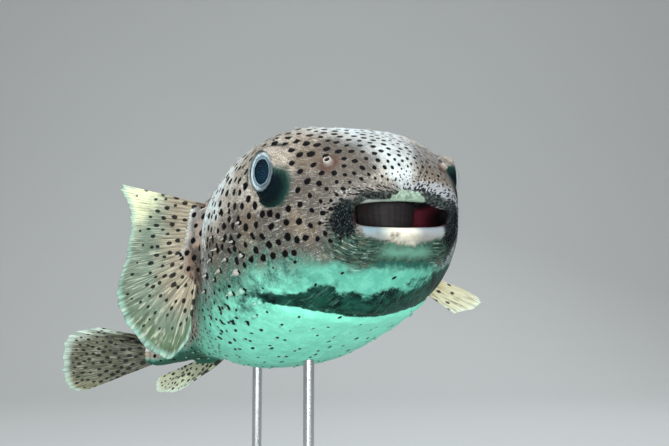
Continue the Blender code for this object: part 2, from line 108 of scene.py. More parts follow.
MOUTH_SECTIONS = (               # distance behind the lip, half width, half height of the hollow
    (-0.0080, 0.0316, 0.0100), (0.0050, 0.0312, 0.0100), (0.0120, 0.0290, 0.0120),
    (0.0240, 0.0270, 0.0140), (0.0360, 0.0200, 0.0110), (0.0420, 0.0080, 0.0050),
)
UPPER_LIP_RADIUS, LOWER_LIP_RADIUS, LIP_TAPER = 0.0038, 0.0048, 0.45
UPPER_LIP_RISE, LOWER_LIP_DROP = 0.0107, 0.0120
SNOUT_AT = (0.012, -0.190, 0.262)
HEAD_PITCH, HEAD_ROLL = math.radians(4.2), math.radians(1.3)
FISH_TO_WORLD = (Matrix.Translation(SNOUT_AT) @ Matrix.Rotation(-math.pi / 2, 4, 'Z')
                 @ Matrix.Rotation(-HEAD_PITCH, 4, 'Y') @ Matrix.Rotation(HEAD_ROLL, 4, 'X'))
# Fin rays: share of the root, length, lean towards the root's start and swing sideways in degrees
PECTORAL_RIGHT_RAYS = (
    (0.00, 0.090, 18, 35), (0.20, 0.070, 12, 35), (0.40, 0.066, 8, 34), (0.55, 0.069, 1, 34),
    (0.68, 0.074, -8, 35), (0.80, 0.079, -17, 36), (0.875, 0.0755, -34, 36), (0.94, 0.070, -62, 31),
    (1.00, 0.046, -78, 28),
)
PECTORAL_LEFT_RAYS = (
    (0.00, 0.080, 20, 28), (0.35, 0.070, 8, 30), (0.60, 0.072, -8, 38), (0.74, 0.074, -22, 60),
    (0.84, 0.086, -21, 82), (0.92, 0.085, -22, 84), (1.00, 0.066, -32, 78),
)
CAUDAL_RAYS = (
    (0.00, 0.060, 27, 27), (0.15, 0.074, 26, 27), (0.30, 0.088, 24, 27), (0.45, 0.094, 20, 27),
    (0.60, 0.092, 12, 27), (0.75, 0.089, 5, 27), (0.88, 0.084, 0, 27), (1.00, 0.074, -4, 27),
)
ANAL_RAYS = (
    (0.00, 0.046, -65, 26), (0.30, 0.064, -72, 26), (0.60, 0.072, -78, 26), (0.85, 0.068, -84, 24),
    (1.00, 0.056, -88, 22),
)
DORSAL_RAYS = (
    (0.00, 0.046, -34, 14), (0.30, 0.062, -46, 16), (0.60, 0.066, -58, 18), (0.85, 0.058, -70, 18),
    (1.00, 0.044, -80, 16),
)

# ---------------------------------------------------------------- sizes that only the looks have
VOXEL = 0.00095 if FINE else 0.0015
FOOT_EDGE, FOOT_SINK = 0.0010, 0.006        # a fin's foot: half thickness at its end, depth in body
POINTS_PER_RAY = 6               # of the mesh across a fin
SHORT_SPINE = 0.0055             # length of the spines on head and belly
SPINE_SINK, SPINE_ARCH = 0.0012, 0.0032     # how deep a spine starts, how high it bows
PATCH_WIDTH = 0.003              # of a spine's patch of the bake's map
FLOW_RADIUS, RING_RADIUS = 0.07, 0.02       # turn angles round body and mouth into lengths
SPOT_REACH, UNMARKED = 3.2, 9.0             # spots' radii: how far one is felt; beyond every spot


# ---------------------------------------------------------------- curves and noise
def smooth(xs, ys, x):
    """Monotone cubic curve through (xs, ys), which never overshoots between two stations."""
    xs, ys, x = (np.asarray(values, float) for values in (xs, ys, x))
    step = np.diff(xs)
    slope = np.diff(ys) / step
    tangent = np.empty_like(ys)
    tangent[0], tangent[-1] = slope[0], slope[-1]
    product = slope[:-1] * slope[1:]
    total = slope[:-1] + slope[1:]
    tangent[1:-1] = np.where(product > 0, 2 * product / np.where(product > 0, total, 1), 0)
    i = np.clip(np.searchsorted(xs, x) - 1, 0, len(xs) - 2)
    t = np.clip((x - xs[i]) / step[i], 0, 1)
    rise = t * t * (3 - 2 * t)
    return (ys[i] * (1 - rise) + ys[i + 1] * rise
            + step[i] * t * (1 - t) * ((1 - t) * tangent[i] - t * tangent[i + 1]))


def ramp(low, high, x):
    """0 below low, 1 above high and a smooth step between; high may be below low."""
    t = np.clip((x - low) / (high - low), 0, 1)
    return t * t * (3 - 2 * t)


def bell(x, width):
    return np.exp(-(x / width) ** 2)


def unit(vectors):
    return vectors / np.maximum(np.linalg.norm(vectors, axis=-1, keepdims=True), 1e-12)


def value_noise(points, size, seed=0):
    """Smooth noise from -1 to 1 at points (n, k), its cells of one size, or of one per axis."""
    grid = np.asarray(points) / np.asarray(size)
    cell = np.floor(grid).astype(np.int64)
    part = grid - cell
    part = part * part * (3 - 2 * part)
    total = np.zeros(len(grid))
    for corner in np.ndindex(*(2,) * grid.shape[1]):
        key = np.full(len(grid), 7919 * (seed + 1), np.int64)
        weight = np.ones(len(grid))
        for axis, step in enumerate(corner):
            key = (key * 1000003) ^ ((cell[:, axis] + step) * (374761393 + 668265263 * axis))
            weight *= part[:, axis] if step else 1 - part[:, axis]
        key = (key ^ (key >> 15)) * 2246822519
        key = (key ^ (key >> 13)) & 0xFFFFFF
        total += weight * (key / 0x7FFFFF - 1.0)
    return total


# ---------------------------------------------------------------- the body's shape
def back_direction(yaw, droop):
    level = np.cos(droop)
    return np.stack([-np.cos(yaw) * level, -np.sin(yaw) * level, -np.sin(droop)], -1)


def spine_table():
    """The spine's line at every millimetre behind the snout, and how far it swings and droops."""
    distance = np.linspace(0.0, STANDARD_LENGTH, 431)
    swung = np.clip((distance - SWING_START) / (STANDARD_LENGTH - SWING_START), 0, 1)
    yaw = TAIL_SWING * swung ** 2
    drooped = np.clip((distance - DROOP_START) / (DROOP_END - DROOP_START), 0, 1)
    droop = TRUNK_DROOP * drooped + (TAIL_DROOP - TRUNK_DROOP) * swung
    back = back_direction(yaw, droop)
    points = np.zeros((len(distance), 3))
    points[1:] = np.cumsum((back[1:] + back[:-1]) / 2 * np.diff(distance)[:, None], axis=0)
    return distance, points, yaw, droop


SPINE_DISTANCE, SPINE_POINT, SPINE_YAW, SPINE_DROOP = spine_table()


def spine(distance):
    """Point, back, left and up directions of the spine at distances behind the snout."""
    point = np.stack([np.interp(distance, SPINE_DISTANCE, SPINE_POINT[:, k]) for k in range(3)], -1)
    yaw = np.interp(distance, SPINE_DISTANCE, SPINE_YAW)
    droop = np.interp(distance, SPINE_DISTANCE, SPINE_DROOP)
    left = np.stack([-np.sin(yaw), np.cos(yaw), np.zeros_like(yaw)], -1)
    up = np.broadcast_to(np.array([0.0, 0.0, 1.0]), left.shape)
    return point, back_direction(yaw, droop), left, up


def fold_distance(aside):
    """How far behind the snout the throat's fold lies, at angles from the belly's midline."""
    return FOLD_DISTANCE + FOLD_SIDE_SHIFT * (aside / FOLD_SIDE_ANGLE) ** 3


def skin_point(distance, angle):
    """Points of the body's surface. The angle runs from the fish's left (0) over its back."""
    distance, angle = np.broadcast_arrays(np.asarray(distance, float), np.asarray(angle, float))
    table = np.array(STATIONS)
    half_width, above, below = (smooth(table[:, 0], table[:, k], distance) for k in (1, 2, 3))
    c, s = np.cos(angle), np.sin(angle)
    cheek_share = np.clip(distance / CHEEK_DISTANCE, 0, 1)
    square = SNOUT_SQUARENESS + (SQUARENESS - SNOUT_SQUARENESS) * cheek_share
    section = (np.abs(c) ** square + np.abs(s) ** square) ** (-1 / square)
    height = np.where(s > 0, above, below)
    centre, _, left, up = spine(distance)
    offset = left * (half_width * section * c)[..., None] + up * (height * section * s)[..., None]
    point = centre + offset
    push = np.zeros(distance.shape)
    for swell_centre, reach, rise, paired in SWELLS:
        for side in (SIDES if paired else SIDES[:1]):
            at = np.array(swell_centre) * (1, side, 1)
            push += rise * np.exp(-np.sum((point - at) ** 2, axis=-1) / reach ** 2)
    aside = np.abs(np.arctan2(c, -s))
    push -= FOLD_DEPTH * bell(distance - fold_distance(aside), FOLD_WIDTH) * np.clip(
        2.2 - 1.8 * aside / FOLD_SIDE_ANGLE, 0, 1)
    return point + unit(offset) * push[..., None]


def place_on_body(points):
    """Distance behind the snout and angle round the body of fish-frame points (n, 3)."""
    distance = np.clip(-points[:, 0], 0.0, STANDARD_LENGTH)
    for _ in range(12):
        centre, _, left, _ = spine(distance)
        heading = np.stack([-left[:, 1], left[:, 0], np.zeros(len(left))], -1)
        distance = np.clip(distance + np.sum((points - centre) * heading, -1), 0.0, STANDARD_LENGTH)
    centre, _, left, _ = spine(distance)
    away = points - centre
    return distance, np.arctan2(away[:, 2], np.sum(away * left, -1)) % (2 * np.pi)


# ---------------------------------------------------------------- mesh helpers
def transformed(points, matrix):
    matrix = np.array(matrix)
    return np.asarray(points) @ matrix[:3, :3].T + matrix[:3, 3]


def to_world(points):
    return transformed(points, FISH_TO_WORLD)


def to_fish(points):
    return transformed(points, FISH_TO_WORLD.inverted())


def linked(name, data):
    """A new object of some data, linked to the scene."""
    obj = bpy.data.objects.new(name, data)
    bpy.context.scene.collection.objects.link(obj)
    return obj


def mesh_object(name, vertices, faces, material=None):
    """A smooth-shaded object from world-space vertices, with its faces turned outward."""
    mesh = bpy.data.meshes.new(name)
    mesh.from_pydata(np.asarray(vertices).tolist(), [], faces)
    tidy = bmesh.new()
    tidy.from_mesh(mesh)
    bmesh.ops.recalc_face_normals(tidy, faces=tidy.faces)
    tidy.to_mesh(mesh)
    tidy.free()
    mesh.shade_smooth()
    if material:
        mesh.materials.append(material)
    return linked(name, mesh)


def grid_faces(rows, columns, closed=True, start=0):
    """Quads of a grid of rows, each of columns points, joined round its columns where closed."""
    joined = columns if closed else columns - 1
    i, j = np.meshgrid(np.arange(rows - 1), np.arange(joined), indexing='ij')
    here, after = i * columns, (i + 1) * columns
    k = (j + 1) % columns
    quads = np.stack([here + j, here + k, after + k, after + j], -1)
    return (quads.reshape(-1, 4) + start).tolist()


def loft(name, rings, material=None):
    """A closed body through fish-frame rings of equal count, capped at each end."""
    count, around = rings.shape[:2]
    faces = grid_faces(count, around)
    faces += [tuple(range(around)), tuple((count - 1) * around + j for j in range(around))]
    return mesh_object(name, to_world(rings.reshape(-1, 3)), faces, material)


def apply_modifiers(obj):
    graph = bpy.context.evaluated_depsgraph_get()
    mesh = bpy.data.meshes.new_from_object(obj.evaluated_get(graph), depsgraph=graph)
    obj.modifiers.clear()
    old, obj.data = obj.data, mesh
    bpy.data.meshes.remove(old)


def join(objects, name):
    """One mesh of several objects' meshes, which it removes."""
    merged = bmesh.new()
    for obj in objects:
        merged.from_mesh(obj.data)
        bpy.data.objects.remove(obj)
    mesh = bpy.data.meshes.new(name)
    merged.to_mesh(mesh)
    merged.free()
    return linked(name, mesh)


def coordinates(mesh):
    flat = np.empty(len(mesh.vertices) * 3)
    mesh.vertices.foreach_get("co", flat)
    return flat.reshape(-1, 3)


def outward(mesh, points):
    """Unit normals in the fish's frame at a mesh's points, which are given in that frame."""
    flat = np.empty(len(mesh.vertices) * 3, np.float32)
    mesh.vertex_normals.foreach_get("vector", flat)
    return to_fish(to_world(points) + flat.reshape(-1, 3).astype(float)) - points


def attributes(mesh, **fields):
    """Named values, or vectors, per vertex for the materials."""
    for name, values in fields.items():
        kind, slot = ('FLOAT_VECTOR', "vector") if np.ndim(values) == 2 else ('FLOAT', "value")
        flat = np.ascontiguousarray(values, np.float32).ravel()
        mesh.attributes.new(name, kind, 'POINT').data.foreach_set(slot, flat)


def about_axis(away, axis):
    """How far points lie along an axis through the origin, and how far off it."""
    along = away @ axis
    return along, np.linalg.norm(away - along[:, None] * axis, axis=-1)


def set_coordinates(mesh, points):
    mesh.vertices.foreach_set("co", np.ascontiguousarray(points, float).ravel())
    mesh.update()


def relax(points, edges, weight, rounds):
    """Moves each point towards its neighbours' mean by weight, several times over."""
    count = np.bincount(edges.ravel(), minlength=len(points)).clip(1)[:, None]
    for _ in range(rounds):
        total = np.stack([np.bincount(edges[:, 0], points[edges[:, 1], k], len(points))
                          + np.bincount(edges[:, 1], points[edges[:, 0], k], len(points))
                          for k in range(3)], -1)
        points = points + weight[:, None] * (total / count - points)
    return points


def line_distance(points, path):
    """Distance from points (n, 3) to a polyline (m, 3), and how far along it, from 0 to 1."""
    best = np.full(len(points), np.inf)
    along = np.zeros(len(points))
    for k in range(len(path) - 1):
        step = path[k + 1] - path[k]
        t = np.clip((points - path[k]) @ step / (step @ step), 0, 1)
        gap = np.linalg.norm(points - path[k] - t[:, None] * step, axis=-1)
        nearer = gap < best
        best[nearer] = gap[nearer]
        along[nearer] = (k + t[nearer]) / (len(path) - 1)
    return best, along


# ---------------------------------------------------------------- the skin's rough form
def eye_frame(side):
    """Centre, look direction, and two directions across it, back and up; side is 1 on the right."""
    look = np.array((math.sin(EYE_FORWARD_TURN), -side * math.cos(EYE_FORWARD_TURN), 0.0))
    back = np.array((-math.cos(EYE_FORWARD_TURN), -side * math.sin(EYE_FORWARD_TURN), 0.0))
    return EYE_CENTRE * (1, side, 1), look, back, np.array((0.0, 0.0, 1.0))


def arc(radius, start, end, count):
    """Profile points (height, radius) on a circle, between two angles off the lathe's axis."""
    return [(radius * math.cos(t), radius * math.sin(t)) for t in np.linspace(start, end, count)]


def lathe(name, profile, centre, axis, across, up, around=64, material=None, closed=False):
    """Profile points (height along axis, radius) turned about the axis: a capped or closed body."""
    turns = np.linspace(0, 2 * np.pi, around, endpoint=False)
    circle = np.cos(turns)[:, None] * across + np.sin(turns)[:, None] * up
    rings = np.array([centre + axis * height + circle * radius for height, radius in profile])
    if not closed:
        return loft(name, rings, material)
    faces = grid_faces(len(profile), around)
    last = (len(profile) - 1) * around
    faces += [(last + j, last + (j + 1) % around, (j + 1) % around, j) for j in range(around)]
    return mesh_object(name, to_world(rings.reshape(-1, 3)), faces, material)


def mouth_oval(half_width, half_height, turn):
    c, s = np.cos(turn), np.sin(turn)
    power = MOUTH_SQUARENESS
    scale = (np.abs(c) ** power + np.abs(s) ** power) ** (-1 / power)
    return np.stack([np.zeros_like(turn), half_width * scale * c, half_height * scale * s], -1)


def lip(name, rise, radius, front):
    """A roll of lip along one side of the mouth, thinner towards the corners."""
    turn = np.radians(np.linspace(2, 178, 60))
    path = MOUTH_MIDDLE + mouth_oval(MOUTH_HALF_WIDTH, rise, turn)
    path[:, 0] = front - 0.003 * (path[:, 1] / MOUTH_HALF_WIDTH) ** 2
    forward = np.broadcast_to(np.array((1.0, 0.0, 0.0)), path.shape)
    square = unit(np.cross(unit(np.gradient(path, axis=0)), forward))
    thick = radius * (1 - LIP_TAPER * (path[:, 1] / MOUTH_HALF_WIDTH) ** 4)
    around = np.linspace(0, 2 * np.pi, 20, endpoint=False)[None, :, None]
    circle = np.cos(around) * forward[:, None] + np.sin(around) * square[:, None]
    return loft(name, path[:, None] + thick[:, None, None] * circle)


def nostril_axis(side):
    """Foot and outward direction of a nostril's tube."""
    distance, angle = NOSTRIL_AT
    turn = angle if side > 0 else math.pi - angle
    foot = skin_point(distance, turn)
    behind, beside = skin_point(distance + 0.002, turn), skin_point(distance, turn + 0.04)
    normal = np.cross(behind - foot, beside - foot)
    return foot, unit(normal * np.sign(normal[2]))


# Heights and radii of the tube's profile in shares of its own, after the one below its foot
NOSTRIL_PROFILE = ((0.0, 1.10), (0.55, 0.92), (0.85, 0.98), (1.0, 0.88), (0.9, 0.58), (0.2, 0.42))


def nostril(side):
    """A short open tube, a little flared at its rim."""
    foot, normal = nostril_axis(side)
    across = unit(np.cross(normal, (1.0, 0.0, 0.0)))
    profile = [(-0.004, 1.15 * NOSTRIL_RADIUS)]
    profile += [(high * NOSTRIL_HEIGHT, wide * NOSTRIL_RADIUS) for high, wide in NOSTRIL_PROFILE]
    return lathe(f"nostril_{side}", profile, foot, normal, across, np.cross(across, normal), 28)


def eyelid(side):
    """The ball of skin round an eye, with a rolled rim about the opening."""
    centre, look, back, up = eye_frame(side)
    outer, far = EYELID_RADIUS, math.radians(140)
    open_angle = math.acos(EYE_OPENING / outer)
    rim = outer * math.sin(open_angle)
    profile = arc(outer, far, open_angle, 24)
    profile += [(EYE_OPENING + 0.0009, rim - 0.0008), (EYE_OPENING + 0.001, rim - 0.0018)]
    profile += arc(SOCKET_RADIUS, math.acos((EYE_OPENING + 0.0004) / SOCKET_RADIUS), far, 24)
    return lathe(f"eyelid_{side}", profile, centre, look, back, up, 72, closed=True)


def body_form():
    """The body's loft, opened for the mouth and the eyes, with all that grows from it."""
    rows = np.linspace(0, 1, 230) ** 1.25 * STANDARD_LENGTH
    around = np.linspace(0, 2 * np.pi, 200, endpoint=False)
    body = loft("body_form", skin_point(rows[:, None], around[None, :]))
    turns = np.linspace(0, 2 * np.pi, 48, endpoint=False)
    sections = [MOUTH_MIDDLE - (back, 0.0, 0.0) + mouth_oval(wide, high, turns)
                for back, wide, high in MOUTH_SECTIONS]
    cutters = [loft("mouth_hollow", np.array(sections))]
    socket = arc(SOCKET_RADIUS, math.pi - 0.05, 0.05, 28)
    opening = ((EYE_OPENING, EYELID_RADIUS), (0.03, 0.019))
    for side in SIDES:
        cutters.append(lathe(f"socket_{side}", socket, *eye_frame(side), 48))
        cutters.append(lathe(f"opening_{side}", opening, *eye_frame(side), 48))
    for cutter in cutters:
        modifier = body.modifiers.new(cutter.name, 'BOOLEAN')
        modifier.operation, modifier.object, modifier.solver = 'DIFFERENCE', cutter, 'EXACT'
    apply_modifiers(body)
    for cutter in cutters:
        bpy.data.objects.remove(cutter)
    pieces = [body, lip("upper", UPPER_LIP_RISE, UPPER_LIP_RADIUS, -0.0006),
              lip("lower", -LOWER_LIP_DROP, LOWER_LIP_RADIUS, -0.0036)]
    for side in SIDES:
        pieces += [nostril(side), eyelid(side)]
    pieces += [fin_foot(fin) for fin in FINS]
    form = join(pieces, "skin")
    remesh = form.modifiers.new("remesh", 'REMESH')
    remesh.mode = 'VOXEL'
    remesh.voxel_size = VOXEL
    apply_modifiers(form)
    return form


# ---------------------------------------------------------------- fins
def flank_root(start, end, start_angle, end_angle):
    """A root line on the flank, between two distances behind the snout and two angles round it."""
    return lambda share: skin_point(start + (end - start) * share,
                                    np.radians(start_angle + (end_angle - start_angle) * share))


def ridge_root(start, end, angle):
    """A root line along the back or the belly."""
    return lambda share: skin_point(start + (end - start) * share,
                                    np.full(share.shape, math.radians(angle)))


def tail_root(share):
    point, _, _, up = spine(np.full(share.shape, STANDARD_LENGTH))
    _, _, above, below = STATIONS[-1]
    return point + up * (0.8 * (above - (above + below) * share))[:, None]


def fin_axes(distance, kind):
    """Straight-out, sideways and lean directions of a fin's rays."""
    def axes(share):
        _, back, left, up = spine(np.full(share.shape, distance))
        return {"right": (back * (1, 1, 0), -left, up), "left": (back * (1, 1, 0), left, up),
                "dorsal": (up, -left, -back), "anal": (-up, -left, -back),
                "tail": (back, -left, up)}[kind]
    return axes


# Name, node replaced, root line, directions, rays, sideways bow, how many real rays, foot's length
# and half thickness, membrane's finish
FINS = (
    dict(name="pectoral_right", node="fin_pectoral_right", root=flank_root(0.160, 0.166, 151, 186),
         axes=fin_axes(0.150, "right"), rays=PECTORAL_RIGHT_RAYS, bow=0.06, count=23,
         foot=(0.016, 0.0042), membrane="pectoral_membrane"),
    dict(name="pectoral_left", node="fin_pectoral_left", root=flank_root(0.160, 0.166, 29, -6),
         axes=fin_axes(0.150, "left"), rays=PECTORAL_LEFT_RAYS, bow=0.06, count=23,
         foot=(0.016, 0.0042), membrane="far_fin_lit_membrane"),
    dict(name="dorsal", node="fin_dorsal", root=ridge_root(0.316, 0.360, 90),
         axes=fin_axes(0.355, "dorsal"), rays=DORSAL_RAYS, bow=0.10, count=15,
         foot=(0.014, 0.0036), membrane="rear_fin_membrane"),
    dict(name="anal", node="fin_anal", root=ridge_root(0.334, 0.369, 270),
         axes=fin_axes(0.355, "anal"), rays=ANAL_RAYS, bow=0.10, count=15,
         foot=(0.014, 0.0034), membrane="anal_membrane"),
    dict(name="caudal", node="fin_caudal", root=tail_root,
         axes=fin_axes(STANDARD_LENGTH, "tail"), rays=CAUDAL_RAYS, bow=0.05, count=10,
         foot=(0.010, 0.0055), membrane="rear_fin_membrane"),
)


def fin_surface(fin, share, reach):
    """Fish-frame points of a fin's middle sheet, the directions out of it and the rays' lengths,
    at shares along the root (n) and reaches along the rays in ray lengths (n or 1, m)."""
    table = np.array(fin["rays"], float)
    length, lean, swing = (smooth(table[:, 0], table[:, k], share) for k in (1, 2, 3))
    lean, swing = np.radians(lean)[:, None], np.radians(swing)[:, None]
    straight, side, towards = fin["axes"](share)
    ray = np.cos(lean) * (np.cos(swing) * straight + np.sin(swing) * side) + np.sin(lean) * towards
    curl = np.cos(swing) * side - np.sin(swing) * straight
    far = length[:, None] * reach
    bend = length[:, None] * fin["bow"] * np.clip(reach, 0, 1) ** 2
    points = (fin["root"](share)[:, None] + ray[:, None] * far[..., None]
              + curl[:, None] * bend[..., None])
    out = unit(np.cross(np.gradient(points, axis=0), np.gradient(points, axis=1)))
    return points, out, length


def fin_foot(fin):
    """The fleshy foot of a fin: thick in the body, thinning towards the blade."""
    share = np.linspace(0.0, 1.0, 40)
    long, thick = fin["foot"]
    high = np.linspace(-FOOT_SINK, long, 10)
    reach = high / np.array(fin["rays"])[:, 1].mean()
    points, out, _ = fin_surface(fin, share, np.broadcast_to(reach, (40, 10)))
    rim = np.sqrt(np.clip(1 - (2 * share - 1) ** 6, 0.12, 1))[:, None]
    thinned = (1 - np.clip(high / long, 0, 1)) ** 1.3
    half = (FOOT_EDGE + (thick - FOOT_EDGE) * thinned) * rim
    front, rear = points + out * half[..., None], points - out * half[..., None]
    return loft(f"foot_{fin['name']}", np.concatenate([front, rear[:, ::-1]], axis=1))


# ---------------------------------------------------------------- sculpting and the skin's fields
def mouth_distance(points):
    """Distance outside the mouth's rounded outline, seen from the front; negative inside it."""
    half = np.array((MOUTH_HALF_WIDTH, MOUTH_HALF_HEIGHT))
    away = np.abs((points - MOUTH_MIDDLE)[:, 1:]) - (half - MOUTH_CORNER)
    beyond = np.linalg.norm(np.maximum(away, 0), axis=-1)
    return (beyond + np.minimum(away.max(-1), 0)) - MOUTH_CORNER


# Rolls and creases of the chin: rise, distance outside the mouth and width
CHIN_ROLLS = ((0.0010, 0.0100, 0.0035), (-0.0011, 0.0052, 0.0012), (-0.0012, 0.0162, 0.0016),
              (0.0006, 0.0200, 0.0026))


def blend_joins(points, edges, mouth, front):
    """Smooths the skin where lips, eyelids and feet of the fins were joined to the body."""
    weight = np.maximum(
        front * ramp(0.0002, 0.0035, mouth) * ramp(0.016, 0.008, mouth),
        front * ramp(-0.0012, -0.0035, mouth) * ramp(-0.004, -0.009, points[:, 0]))
    for side in SIDES:
        centre, look, back, _ = eye_frame(side)
        away = points - centre
        reach = np.linalg.norm(away, axis=-1)
        near = ramp(0.0135, 0.0165, reach) * ramp(0.028, 0.02, reach)
        weight = np.maximum(weight, near * ramp(0.008, 0.005, away @ look)
                            * ramp(0.006, 0.000, away @ back))
    for fin in FINS:
        gap, _ = line_distance(points, fin["root"](np.linspace(0, 1, 12)))
        weight = np.maximum(weight, ramp(0.013, 0.006, gap))
    weight *= 0.5
    active = weight > 0.003
    some = edges[active[edges[:, 0]] | active[edges[:, 1]]]
    return relax(points, some, np.where(active, weight, 0.0), 45)


def over_eye(away, back, up, back_share=0.62, up_share=0.78):
    """How far points lie behind and above an eye."""
    return back_share * (away @ back) + up_share * (away @ up)


def press_cheek(push, points, side):
    """Adds to push one cheek's creases, the wrinkles round its eye and the fold over that."""
    for path, depth, wide in CREASES:
        line = np.array([skin_point(s, math.radians(a if side > 0 else 180 - a)) for s, a in path])
        gap, along = line_distance(points, smooth_path(line))
        fade = np.sin(np.pi * np.clip(along, 0.03, 0.97)) ** 0.5
        push += fade * (-depth * bell(gap, wide) + 0.45 * depth * bell(gap - 2.2 * wide, wide))
    centre, look, back, up = eye_frame(side)
    away = points - centre
    ahead, reach = away @ look, np.linalg.norm(away, axis=-1)
    # Wrinkles round the eye's opening, then folds that sweep over the eye from behind
    ringed = ramp(0.03, 0.018, reach) * ramp(0.009, 0.007, ahead)
    waves = np.sin(ahead / 0.0021 * 2 * np.pi + 1.5 * value_noise(points, 0.006, 7))
    push += ringed * 0.00022 * waves
    over = ramp(-0.004, 0.008, over_eye(away, back, up, 0.5, 0.85)) * ramp(0.034, 0.024, reach)
    waves = np.sin(reach / 0.003 * 2 * np.pi + 2.2 * value_noise(points, 0.009, 8))
    push += over * 0.00034 * waves * ramp(0.0175, 0.0195, reach)
    over = ramp(0.002, 0.009, over_eye(away, back, up)) * ramp(-0.01, -0.002, ahead)
    push -= 0.0011 * over * bell(reach - 0.018, 0.0012)
    # The crease where the lid's ball meets the cheek
    low = points - LID_CENTRE * (1, side, 1)
    reach = np.linalg.norm(low, axis=-1)
    push -= (0.0011 * bell(reach - 0.0152, 0.0016) * ramp(-0.003, -0.009, low[:, 2])
             * ramp(0.012, 0.006, low[:, 0]))


def sculpt(form):
    """Blends what was joined, then presses the folds and creases into the skin."""
    mesh = form.data
    points = to_fish(coordinates(mesh))
    edges = np.empty(len(mesh.edges) * 2, np.int32)
    mesh.edges.foreach_get("vertices", edges)
    edges = edges.reshape(-1, 2)

    points = relax(points, edges, np.full(len(points), 0.5), 2)
    front = ramp(-0.05, -0.036, points[:, 0])
    points = blend_joins(points, edges, mouth_distance(points), front)
    set_coordinates(mesh, to_world(points))

    out = outward(mesh, points)
    distance, angle = place_on_body(points)
    turned = np.degrees(np.arctan2(np.cos(angle), -np.sin(angle)))
    belly = np.abs(turned)
    mouth = mouth_distance(points)
    inside = ramp(0.0005, -0.0015, mouth) * ramp(-0.002, -0.006, points[:, 0]) * front

    push = np.full(len(points), -0.0002)
    # The sharp bottom of the fold between throat and belly
    aside = np.radians(belly)
    behind_fold = distance - fold_distance(aside)
    wander = 0.0012 * value_noise(np.stack([belly, distance * 0], -1), (9.0, 1.0), 3)
    push -= 0.0018 * bell(behind_fold - wander, 0.0016) * ramp(66, 50, belly)
    push += 0.001 * bell(behind_fold + 0.005, 0.003) * ramp(66, 50, belly)
    # Rolls and creases round the mouth
    chin = front * ramp(-0.008, -0.014, points[:, 2])
    push += chin * sum(rise * bell(mouth - at, width) for rise, at, width in CHIN_ROLLS)
    corner = front * bell(points[:, 2] + 0.01, 0.01) * ramp(0.02, 0.03, np.abs(points[:, 1]))
    rings = np.sin(mouth / 0.003 * 2 * np.pi + 2.0 * value_noise(points, 0.008, 5))
    push += corner * 0.00035 * rings * ramp(0.002, 0.005, mouth) * ramp(0.024, 0.012, mouth)
    # The upper lip hangs over the left corner
    hang = bell(points[:, 1] - 0.024, 0.007) * ramp(0.012, 0.003, np.abs(mouth + 0.001))
    hang *= front
    points[:, 2] -= 0.0026 * hang * ramp(-0.009, 0.000, points[:, 2])
    for side in SIDES:
        press_cheek(push, points, side)
    # Slack skin: broad dimples everywhere but in the mouth, pleats on the belly and the neck
    flow = np.stack([distance, aside * FLOW_RADIUS, np.zeros(len(points))], -1)
    dimples = (1 - inside) * 0.00035 * value_noise(points, 0.011, 11)
    push += dimples + (1 - inside) * 0.00013 * value_noise(points, 0.0042, 12)
    pleats = 0.0003 * value_noise(flow, (0.05, 0.0042, 1.0), 13)
    push += pleats * ramp(66, 40, belly) * ramp(0.06, 0.08, distance) * ramp(0.4, 0.34, distance)
    neck = 0.00035 * value_noise(flow, (0.0045, 0.04, 1.0), 14)
    push += neck * bell(distance - 0.148, 0.016) * ramp(60, 85, belly) * ramp(150, 120, belly)
    points = points + out * (push * (1 - 0.85 * inside))[:, None]
    set_coordinates(mesh, to_world(points))
    mesh.shade_smooth()
    return dict(points=points, distance=distance, angle=angle, belly=belly, turned=turned,
                mouth=np.where(front > 0.01, mouth, 0.2), inside=inside, front=front)


# Where tan gives way to mint: distance behind the snout and angle from the belly's midline
BORDER_DISTANCE = (0.0, 0.006, 0.016, 0.035, 0.065, 0.10, 0.17, 0.30, 0.43)
BORDER_TURN = (12, 22, 46, 58, 64, 66, 68, 60, 40)

# Front edge of the dark band across the throat: angle from the belly's midline and distance
BAND_TURN = (-75, -60, -54, -47.5, -43.5, -40, -36, -33, -28, -25, -20, -9, 4, 21, 40, 50, 62, 75)
BAND_FRONT = (0.120, 0.097, 0.0725, 0.0566, 0.0440, 0.0325, 0.0285, 0.0335, 0.0310, 0.0252, 0.0258,
              0.0211, 0.0189, 0.0181, 0.0187, 0.0260, 0.0500, 0.100)

# Creases on the right side, mirrored on the left: places (distance, angle in degrees), depth, width
CREASES = (
    (((0.098, 176), (0.076, 186), (0.057, 192), (0.040, 188), (0.028, 184)), 0.0012, 0.0012),
    (((0.110, 186), (0.092, 192), (0.074, 197), (0.058, 200)), 0.0012, 0.0012),
    (((0.064, 180), (0.052, 183), (0.044, 189)), 0.0009, 0.0010),
    (((0.150, 196), (0.148, 178), (0.143, 160), (0.138, 146)), 0.0012, 0.0022),
)


def smooth_path(line, count=24):
    share = np.linspace(0, 1, len(line))
    fine = np.linspace(0, 1, count)
    return np.stack([smooth(share, line[:, k], fine) for k in range(3)], -1)


def kd_tree(points):
    tree = kdtree.KDTree(len(points))
    for i, point in enumerate(points):
        tree.insert(point, i)
    tree.balance()
    return tree


def scatter(tree, points, allowed, spacing, seed):
    """Evenly strewn points: indices of vertices at least their own spacing apart."""
    order = np.random.default_rng(seed).permutation(np.flatnonzero(allowed))
    covered = np.zeros(len(points), bool)
    chosen = []
    for i in order:
        if not covered[i]:
            chosen.append(i)
            for _, j, _ in tree.find_range(points[i], spacing[i]):
                covered[j] = True
    return np.array(chosen)


